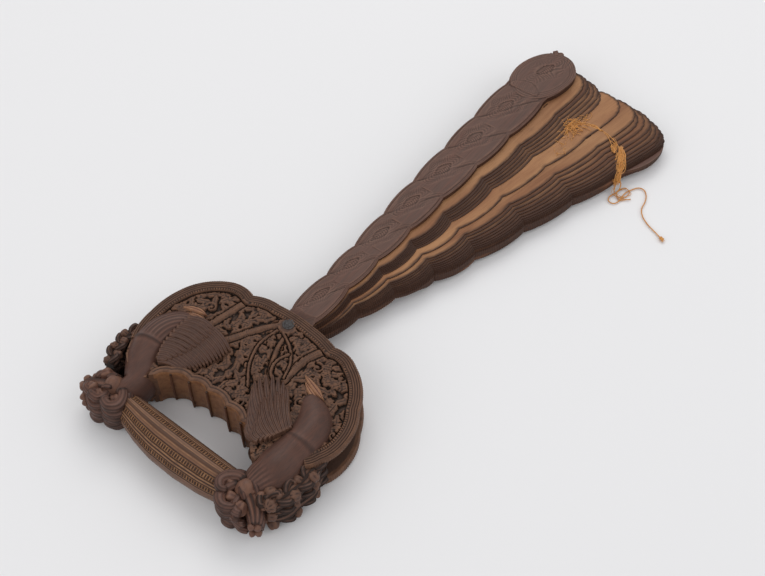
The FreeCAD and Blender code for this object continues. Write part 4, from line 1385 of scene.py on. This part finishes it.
def leafy_chain(path, r0, count, seed, zr=(4.5, 20.0)):
    """Grooved scroll of foliage with blossoms and curled leaves along it."""
    rg = np.random.default_rng(seed)
    stem = smooth_curve(np.asarray(path, float), 70)
    parts = []
    for zc in (6.8, 12.4, 18.0):
        wob = 0.5 * np.sin(np.linspace(0, 9, 70) + zc)
        parts.append(tube(np.c_[stem[:, 0] + wob * 0.5, stem[:, 1] + wob, np.full(70, zc)], r0 * (0.78 + 0.10 * np.sin(np.linspace(0, 19, 70) + zc)), 48, 9, 0.10, 0.95))
    for k in range(count):
        t = (k + 0.5) / count
        c = stem[int(t * 69)]
        d = stem[min(int(t * 69) + 1, 69)] - stem[max(int(t * 69) - 1, 0)]
        d = d / np.linalg.norm(d)
        e = np.array([-d[1], d[0]])
        for z in (zr[0], zr[1], 0.5 * (zr[0] + zr[1])):
            sgn = 1 if (k % 2 == 0) else -1
            off = e * sgn * r0 * rg.uniform(0.35, 0.6)
            cen = (c[0] + off[0], c[1] + off[1], z + rg.uniform(-0.8, 0.8))
            parts.append(ball(cen, rg.uniform(0.52, 0.66) * r0, int(rg.integers(1e6)), int(rg.integers(5, 8)), 0.09, n=16))
            # broad curled leaf across from it
            b0 = np.array([c[0], c[1], z + rg.uniform(-1.0, 1.0)])
            w = -e * sgn
            pts = [b0 - np.r_[d * 0.6 * r0, 0], b0 + np.r_[w * 0.55 * r0 - d * 0.1 * r0, 0.9], b0 + np.r_[w * 0.80 * r0 + d * 0.55 * r0, 0.6],
                   b0 + np.r_[w * 0.40 * r0 + d * 0.85 * r0, 0.2]]
            parts.append(lock(pts, [0.25 * r0, 0.36 * r0, 0.34 * r0, 0.2 * r0], 6, 0.12, 1.0, 36, 24))
    return join(parts)


v, f = leafy_chain([(-56.5, -71.5), (-59.0, -66.0), (-61.0, -60.0), (-61.6, -54.0), (-60.0, -48.5)], 3.9, 6, 5)
make("left_crest_scroll", v, f, [M_SMOOTH], "handle", ["handle_block"], sharp=60)
v, f = leafy_chain([(53.0, -78.0), (58.5, -79.0), (61.5, -73.0), (62.8, -65.0), (62.6, -57.0), (60.6, -50.0)], 4.9, 7, 9)
make("right_crest_scroll", v, f, [M_SMOOTH], "handle", ["handle_block"], sharp=60)


def head(dome, dr, muzzle, mr, mane, lumps, seed, grooves):
    """Round brow, muzzle and thick locks of curled mane, the same on both faces."""
    parts = [ball((*dome, 13.0), dr, seed, 0, 0, 30, (1.0, 1.0, 12.6 / dr))]
    mz = np.asarray(muzzle, float)
    parts.append(lock([(*q, 12.8) for q in mz], mr, grooves, 0.06, 1.75, 84, 60))
    for (x, y, r, z) in lumps:
        for sz in (1, -1):
            parts.append(ball((x, y, 12.5 + sz * z), r, seed + int(x * 7) % 90, 3, 0.05, 16))
    d = (mz[1] - mz[0]) / np.linalg.norm(mz[1] - mz[0])
    e = np.array([-d[1], d[0]])
    for sz in (1, -1):
        for side in (1, -1):
            br = mz[0] + e * side * 3.2
            parts.append(lock([(br[0] - d[0] * 3.5, br[1] - d[1] * 3.5, 13 + sz * 10.6), (br[0] - d[0] * 0.5, br[1] - d[1] * 0.5, 13 + sz * 9.8),
                               (br[0] + d[0] * 2.8, br[1] + d[1] * 2.8, 13 + sz * 7.6)], [0.9, 1.5, 0.8], 5, 0.12, 1.0, 30, 20))
            parts.append(ball((br[0] + d[0] * 0.4 - e[0] * side * 1.3, br[1] + d[1] * 0.4 - e[1] * side * 1.3, 13 + sz * 8.8), 1.15, seed + 8, 0, 0, 14))
    rg = np.random.default_rng(seed)
    for k, (path, r, zz) in enumerate(mane):
        c0 = np.mean(np.asarray(path, float), axis=0)
        for sz in (1, -1):
            parts.append(ball((c0[0], c0[1], 12.5 + sz * 5.5), 3.6, seed + k, 6, 0.07, 22, (1.0, 1.0, 1.25)))
        for n_, z in enumerate(zz):
            for sz in (1, -1):
                sc = rg.uniform(0.80, 1.10) * (1.06 - 0.018 * z)
                rot = rg.uniform(-0.45, 0.45)
                jx, jy = rg.uniform(-0.9, 0.9, 2)
                pts = []
                for i, p in enumerate(path):
                    q = (np.asarray(p, float) - c0) * sc
                    q = np.array([q[0] * math.cos(rot) - q[1] * math.sin(rot), q[0] * math.sin(rot) + q[1] * math.cos(rot)]) + c0 + (jx, jy)
                    pts.append((q[0], q[1], 12.5 + sz * (z + 1.1 * math.sin(1.5 * i + k + n_))))
                parts.append(lock(pts, [q * rg.uniform(0.72, 0.86) for q in r], 9, 0.05, 1.0, 60, 50))
    return join(parts)


lm = [
    ([(-40.0, -76.0), (-35.4, -79.8), (-33.4, -85.4), (-36.2, -90.0), (-41.0, -89.4), (-41.2, -85.6)], [2.6, 3.4, 3.6, 3.4, 2.9, 1.8], (0.8, 4.8, 8.8)),
    ([(-43.4, -80.0), (-42.6, -86.6), (-45.6, -91.4), (-50.4, -90.6), (-51.0, -87.4)], [2.8, 3.4, 3.4, 2.8, 1.8], (0.8, 4.4, 7.8)),
    ([(-47.4, -82.0), (-50.4, -87.4), (-54.6, -89.6), (-57.4, -87.4)], [2.8, 3.2, 2.8, 1.9], (0.8, 4.0, 7.0)),
    ([(-47.5, -74.5), (-52.0, -74.6), (-55.6, -77.4), (-56.0, -80.6)], [2.4, 2.9, 2.5, 1.7], (2.5, 6.5)),
]
v, f = head((-44.8, -79.0), 6.3, [(-47.0, -80.2), (-51.8, -82.2), (-56.2, -84.2), (-60.0, -86.0)], [5.2, 4.8, 4.2, 3.0], lm,
            [(-60.4, -83.4, 2.2, 3.4), (-58.8, -87.6, 2.2, 3.2), (-56.6, -80.4, 2.3, 5.0), (-54.6, -91.4, 2.1, 2.6), (-61.6, -86.2, 1.6, 1.4)], 31, 9)
make("left_beast_head", v, f, [M_BODY_WITH_SHEEN], "handle", ["handle_block"], sharp=60)
rm = [
    ([(42.0, -75.5), (36.6, -76.8), (32.6, -81.4), (33.4, -87.0), (38.0, -89.4), (41.2, -86.6)], [2.8, 3.5, 3.8, 3.6, 3.0, 1.9], (0.8, 5.0, 9.2)),
    ([(42.5, -80.0), (38.6, -84.6), (38.0, -90.4), (42.0, -94.2), (46.4, -92.8), (46.2, -89.4)], [2.8, 3.5, 3.7, 3.4, 2.8, 1.8], (0.8, 4.6, 8.2)),
    ([(46.0, -83.0), (46.2, -89.0), (49.4, -93.2), (53.2, -93.4)], [2.8, 3.4, 3.0, 2.0], (0.8, 4.2, 7.6)),
]
v, f = head((45.2, -81.0), 6.8, [(48.0, -82.0), (52.6, -84.6), (56.6, -87.8), (59.6, -91.2)], [5.6, 5.0, 4.2, 3.0], rm,
            [(60.4, -90.8, 1.8, 2.6), (58.0, -92.6, 1.7, 3.2), (56.6, -82.4, 2.2, 6.2), (52.8, -79.4, 2.6, 7.4)], 57, 12)
make("right_beast_head", v, f, [M_BODY_WITH_SHEEN], "handle", ["handle_block"], sharp=60)

# pale pointed leaves in the field
def leaf_piece(name, a, c, b, w, z):
    v1, f1 = feather(a, c, b, w * 0.55, w * 0.55, z, z - 0.2, 1.0, 1.7, 40, 17)
    # pointed at both ends
    p0, p1 = np.asarray(a, float), np.asarray(b, float)
    d = (p1 - p0) / np.linalg.norm(p1 - p0)
    t = np.clip(((v1[:, :2] - p0) @ d) / np.linalg.norm(p1 - p0), 0, 1)
    mid = (1 - t)[:, None] ** 2 * p0 + 2 * ((1 - t) * t)[:, None] * np.asarray(c, float) + (t ** 2)[:, None] * p1
    k = (np.sin(math.pi * np.clip(t * 0.94 + 0.03, 0, 1)) ** 0.7)[:, None]
    v1[:, :2] = mid + (v1[:, :2] - mid) * np.maximum(k, 0.12)
    v1[:, 2] = np.maximum(v1[:, 2], 20.5)
    make(name, v1, f1, [M_EAR], "handle", (), sharp=50)


leaf_piece("left_pale_leaf_upper", (-50.0, -25.0), (-43.5, -20.4), (-36.5, -21.5), 3.4, 22.6)
leaf_piece("left_pale_leaf_lower", (-46.5, -27.0), (-40.0, -23.2), (-33.5, -25.0), 3.0, 22.3)
leaf_piece("right_pale_leaf_upper", (27.5, -18.6), (34.0, -20.4), (44.0, -24.0), 3.6, 22.7)
leaf_piece("right_pale_leaf_lower", (30.0, -21.5), (36.0, -24.6), (42.5, -26.0), 3.0, 22.4)


# ------------------------------------------------------------------ rivet and washers
def lathe(name, prof, nodes, mat=None, n=64, body="handle"):
    v, f = [], []
    for (r, z) in prof:
        for k in range(n):
            a = 2 * math.pi * k / n
            v.append((r * math.cos(a), r * math.sin(a), z))
    m = len(prof)
    closed_ring = prof[0][0] > 0.01 and prof[-1][0] > 0.01 and nodes and "washer" in nodes[0]
    for i in range(m - 1 if not closed_ring else m):
        for k in range(n):
            a, b = i * n + k, i * n + (k + 1) % n
            c, d = ((i + 1) % m) * n + (k + 1) % n, ((i + 1) % m) * n + k
            f.append((a, b, c, d))
    if not closed_ring:
        f.append(tuple(range(n))[::-1])
        f.append(tuple((m - 1) * n + k for k in range(n)))
    return make(name, v, f, [mat or M_STEEL], body, nodes, sharp=40)


lathe("rivet", [(2.0, 0.02), (2.0, 24.0), (2.3, 24.02), (2.4, 24.2), (2.2, 24.45), (1.7, 24.65), (1.0, 24.75), (0.3, 24.78)], ["rivet_pin"])
lathe("rivet_washer_front", [(2.05, 23.7), (3.1, 23.7), (3.25, 23.85), (3.15, 24.05), (2.8, 24.14), (2.05, 24.15)], ["front_washer"])
lathe("rivet_washer_rear", [(2.05, 0.05), (3.9, 0.05), (4.15, 0.2), (4.15, 0.75), (2.05, 0.75)], ["rear_washer"])

# ------------------------------------------------------------------ silk thread: loose tail
ROUTE = [(69.6, 211.2, 7.0), (73.6, 210.1, 6.6), (76.0, 208.4, 3.4), (75.6, 204.6, 0.9), (73.4, 200.6, 0.5),
         (74.4, 196.2, 0.5), (78.8, 196.0, 0.5), (80.2, 200.8, 0.5), (79.0, 207.6, 0.5), (81.4, 213.6, 0.5),
         (83.8, 217.4, 0.5), (87.8, 217.2, 0.5), (91.0, 213.0, 0.5), (92.6, 208.2, 0.5), (93.2, 202.8, 0.5),
         (96.8, 197.8, 0.5), (103.0, 193.8, 0.5), (109.4, 191.6, 0.5), (113.4, 189.6, 0.6)]


def nurbs(name, pts, depth=0.0, res=8):
    cu = bpy.data.curves.new(name, "CURVE")
    cu.dimensions = "3D"
    sp = cu.splines.new("NURBS")
    sp.points.add(len(pts) - 1)
    for k, q in enumerate(pts):
        sp.points[k].co = (q[0] * MM, q[1] * MM, q[2] * MM, 1.0)
    sp.order_u = 3
    sp.use_endpoint_u = True
    cu.resolution_u = res
    cu.bevel_depth = depth * MM
    ob = bpy.data.objects.new(name, cu)
    bpy.context.scene.collection.objects.link(ob)
    return ob


guide = nurbs("thread_guide", ROUTE, 0.0, 10)
tmp = bpy.data.meshes.new_from_object(guide)
line = np.array([tuple(v.co) for v in tmp.vertices]) / MM
bpy.data.objects.remove(guide)
bpy.data.meshes.remove(tmp)
seg = np.linalg.norm(np.diff(line, axis=0), axis=1)
cum = np.concatenate([[0], np.cumsum(seg)])
nn = 420
line = np.stack([np.interp(np.linspace(0, cum[-1], nn), cum, line[:, c]) for c in range(3)], 1)
parts = []
tan = np.gradient(line, axis=0)
tan /= np.linalg.norm(tan, axis=1)[:, None]
sd = np.cross(tan, [0, 0, 1.0])
sd /= np.maximum(np.linalg.norm(sd, axis=1)[:, None], 1e-6)
up = np.cross(sd, tan)
tw = np.linspace(0, cum[-1], nn)
for k in range(3):
    a = 2 * math.pi * (tw / 2.6 + k / 3)
    p = line + (sd * np.cos(a)[:, None] + up * np.sin(a)[:, None]) * 0.17
    p[:, 2] = np.maximum(p[:, 2], 0.24)
    parts.append(tube(p, np.full(nn, 0.22), 7))
v, f = join(parts)
tail = make("silk_thread_tail", v, f, [M_SILK], "rear_guard", ["thread_tail"], cav=False)

kp = [ball((113.6, 189.5, 1.0), 1.05, 3, 3, 0.1, 14), ball((114.7, 189.0, 1.1), 1.0, 4, 3, 0.1, 14)]
rg = np.random.default_rng(77)
for k in range(9):
    a = rg.uniform(-1.5, 0.5)
    q = np.array([114.6, 189.0, 1.0])
    d = np.array([math.cos(a), math.sin(a), 0])
    kp.append(lock([q, q + d * 1.0 + [0, 0, 0.2], q + d * 1.9 + [0, 0, -0.4]], [0.16, 0.15, 0.1], 0, 0, 1.0, 6, 10))
v, f = join(kp)
v[:, 2] = np.maximum(v[:, 2], 0.04)
knot = make("silk_thread_knot", v, f, [M_SILK], "rear_guard", ["thread_knot"], cav=False)
print("thread", cum[-1])


# ------------------------------------------------------------------ broken floral end of the front guard
fin = []
for k, (cx, cy, cz, rr) in enumerate(((-11.4, 265.4, 20.2, 1.9), (-10.4, 268.6, 20.4, 2.0), (-7.2, 269.4, 20.0, 1.9), (-8.6, 266.2, 21.2, 1.7), (-4.8, 267.6, 19.6, 1.6))):
    fin.append(ball((cx, cy, cz), rr, 60 + k, 5, 0.13, 18, (1, 1, 0.8)))
v, f = join(fin)
make("guard_finial", v, f, [M_GUARD], "front_guard", (), sharp=60)

# ------------------------------------------------------------------ frayed silk on the sticks
def strand_set(name, body, anchor, spread, z, count, seed, length, r=0.13, droop=0.0, heading=None):
    rg = np.random.default_rng(seed)
    parts = []
    for k in range(count):
        a = rg.uniform(0, 6.28) if heading is None else heading + rg.normal(0, 0.35)
        p = np.array([anchor[0] + rg.normal(0, spread), anchor[1] + rg.normal(0, spread), z + rg.uniform(0.05, 0.9)])
        pts = [p]
        L = length * rg.uniform(0.5, 1.15)
        for q in range(6):
            a += rg.normal(0, 0.55)
            p = p + np.array([math.cos(a), math.sin(a), 0]) * L / 6
            p[2] = z + 0.1 + abs(rg.normal(0, 0.55)) - droop * q / 6
            pts.append(p.copy())
        c = smooth_curve(np.array(pts), 26)
        parts.append(tube(c, np.full(26, r * rg.uniform(0.7, 1.2)), 5))
    v, f = join(parts)
    return make(name, v, f, [M_SILK], body, (), cav=False)


def top_of(node):
    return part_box(node)[1][2] / MM


z7 = top_of("stick_07")
strand_set("silk_tuft_upper", "stick_07", (29.0, 222.5), 3.4, z7, 95, 5, 13.0, 0.17)
strand_set("silk_tuft_core", "stick_07", (27.0, 224.0), 2.0, z7, 54, 6, 6.5, 0.22)
z8 = top_of("stick_08")
strand_set("silk_strands_lower", "stick_08", (31.0, 206.0), 3.0, z8, 14, 8, 10.0, 0.15)


# strands drawn from the tuft over the lower sticks, and the bundle down the stack's edge
def bundle(name, body, knots, count, seed, r, spread, zmin=0.3):
    rg = np.random.default_rng(seed)
    kn = np.asarray(knots, float)
    parts = []
    for k in range(count):
        off = rg.normal(0, 1, (len(kn), 3)) * np.array([spread, spread, 0.35])
        off[0] *= 0.4
        q = kn + off
        q[:, 2] = np.maximum(q[:, 2], zmin)
        c = smooth_curve(q, 44)
        parts.append(tube(c, np.full(44, r * rg.uniform(0.75, 1.2)), 5))
    v, f = join(parts)
    return make(name, v, f, [M_SILK], body, (), cav=False)


z10 = top_of("stick_10")
bundle("silk_strands_across", "stick_08", [(30.0, 224.0, z8 + 0.5), (36.0, 229.0, z8 + 0.6), (42.0, 231.5, z8 + 0.5), (47.0, 231.0, z8 + 0.3)], 8, 21, 0.17, 0.8, z8 + 0.15)
bundle("silk_strands_edge", "stick_10", [(46.0, 231.5, z10 + 0.6), (52.0, 229.0, z10 + 0.6), (58.0, 225.0, z10 + 0.4), (61.5, 221.0, z10 + 0.1)], 16, 22, 0.18, 1.5, z10 + 0.15)
bundle("silk_bundle_wall", "rear_guard", [(62.5, 227.5, 13.0), (66.0, 222.0, 12.6), (69.4, 216.0, 11.2), (71.6, 210.6, 8.2), (72.6, 207.4, 5.0)], 40, 23, 0.20, 1.5, 0.4)
bundle("silk_bundle_loops", "rear_guard", [(72.6, 207.6, 5.2), (75.0, 203.6, 2.0), (80.0, 204.0, 0.5), (82.0, 209.6, 0.5), (77.6, 211.4, 0.5), (75.4, 206.0, 0.7), (79.2, 201.6, 0.5), (84.6, 206.0, 0.5)], 4, 24, 0.15, 0.6, 0.2)

# ------------------------------------------------------------------ finish
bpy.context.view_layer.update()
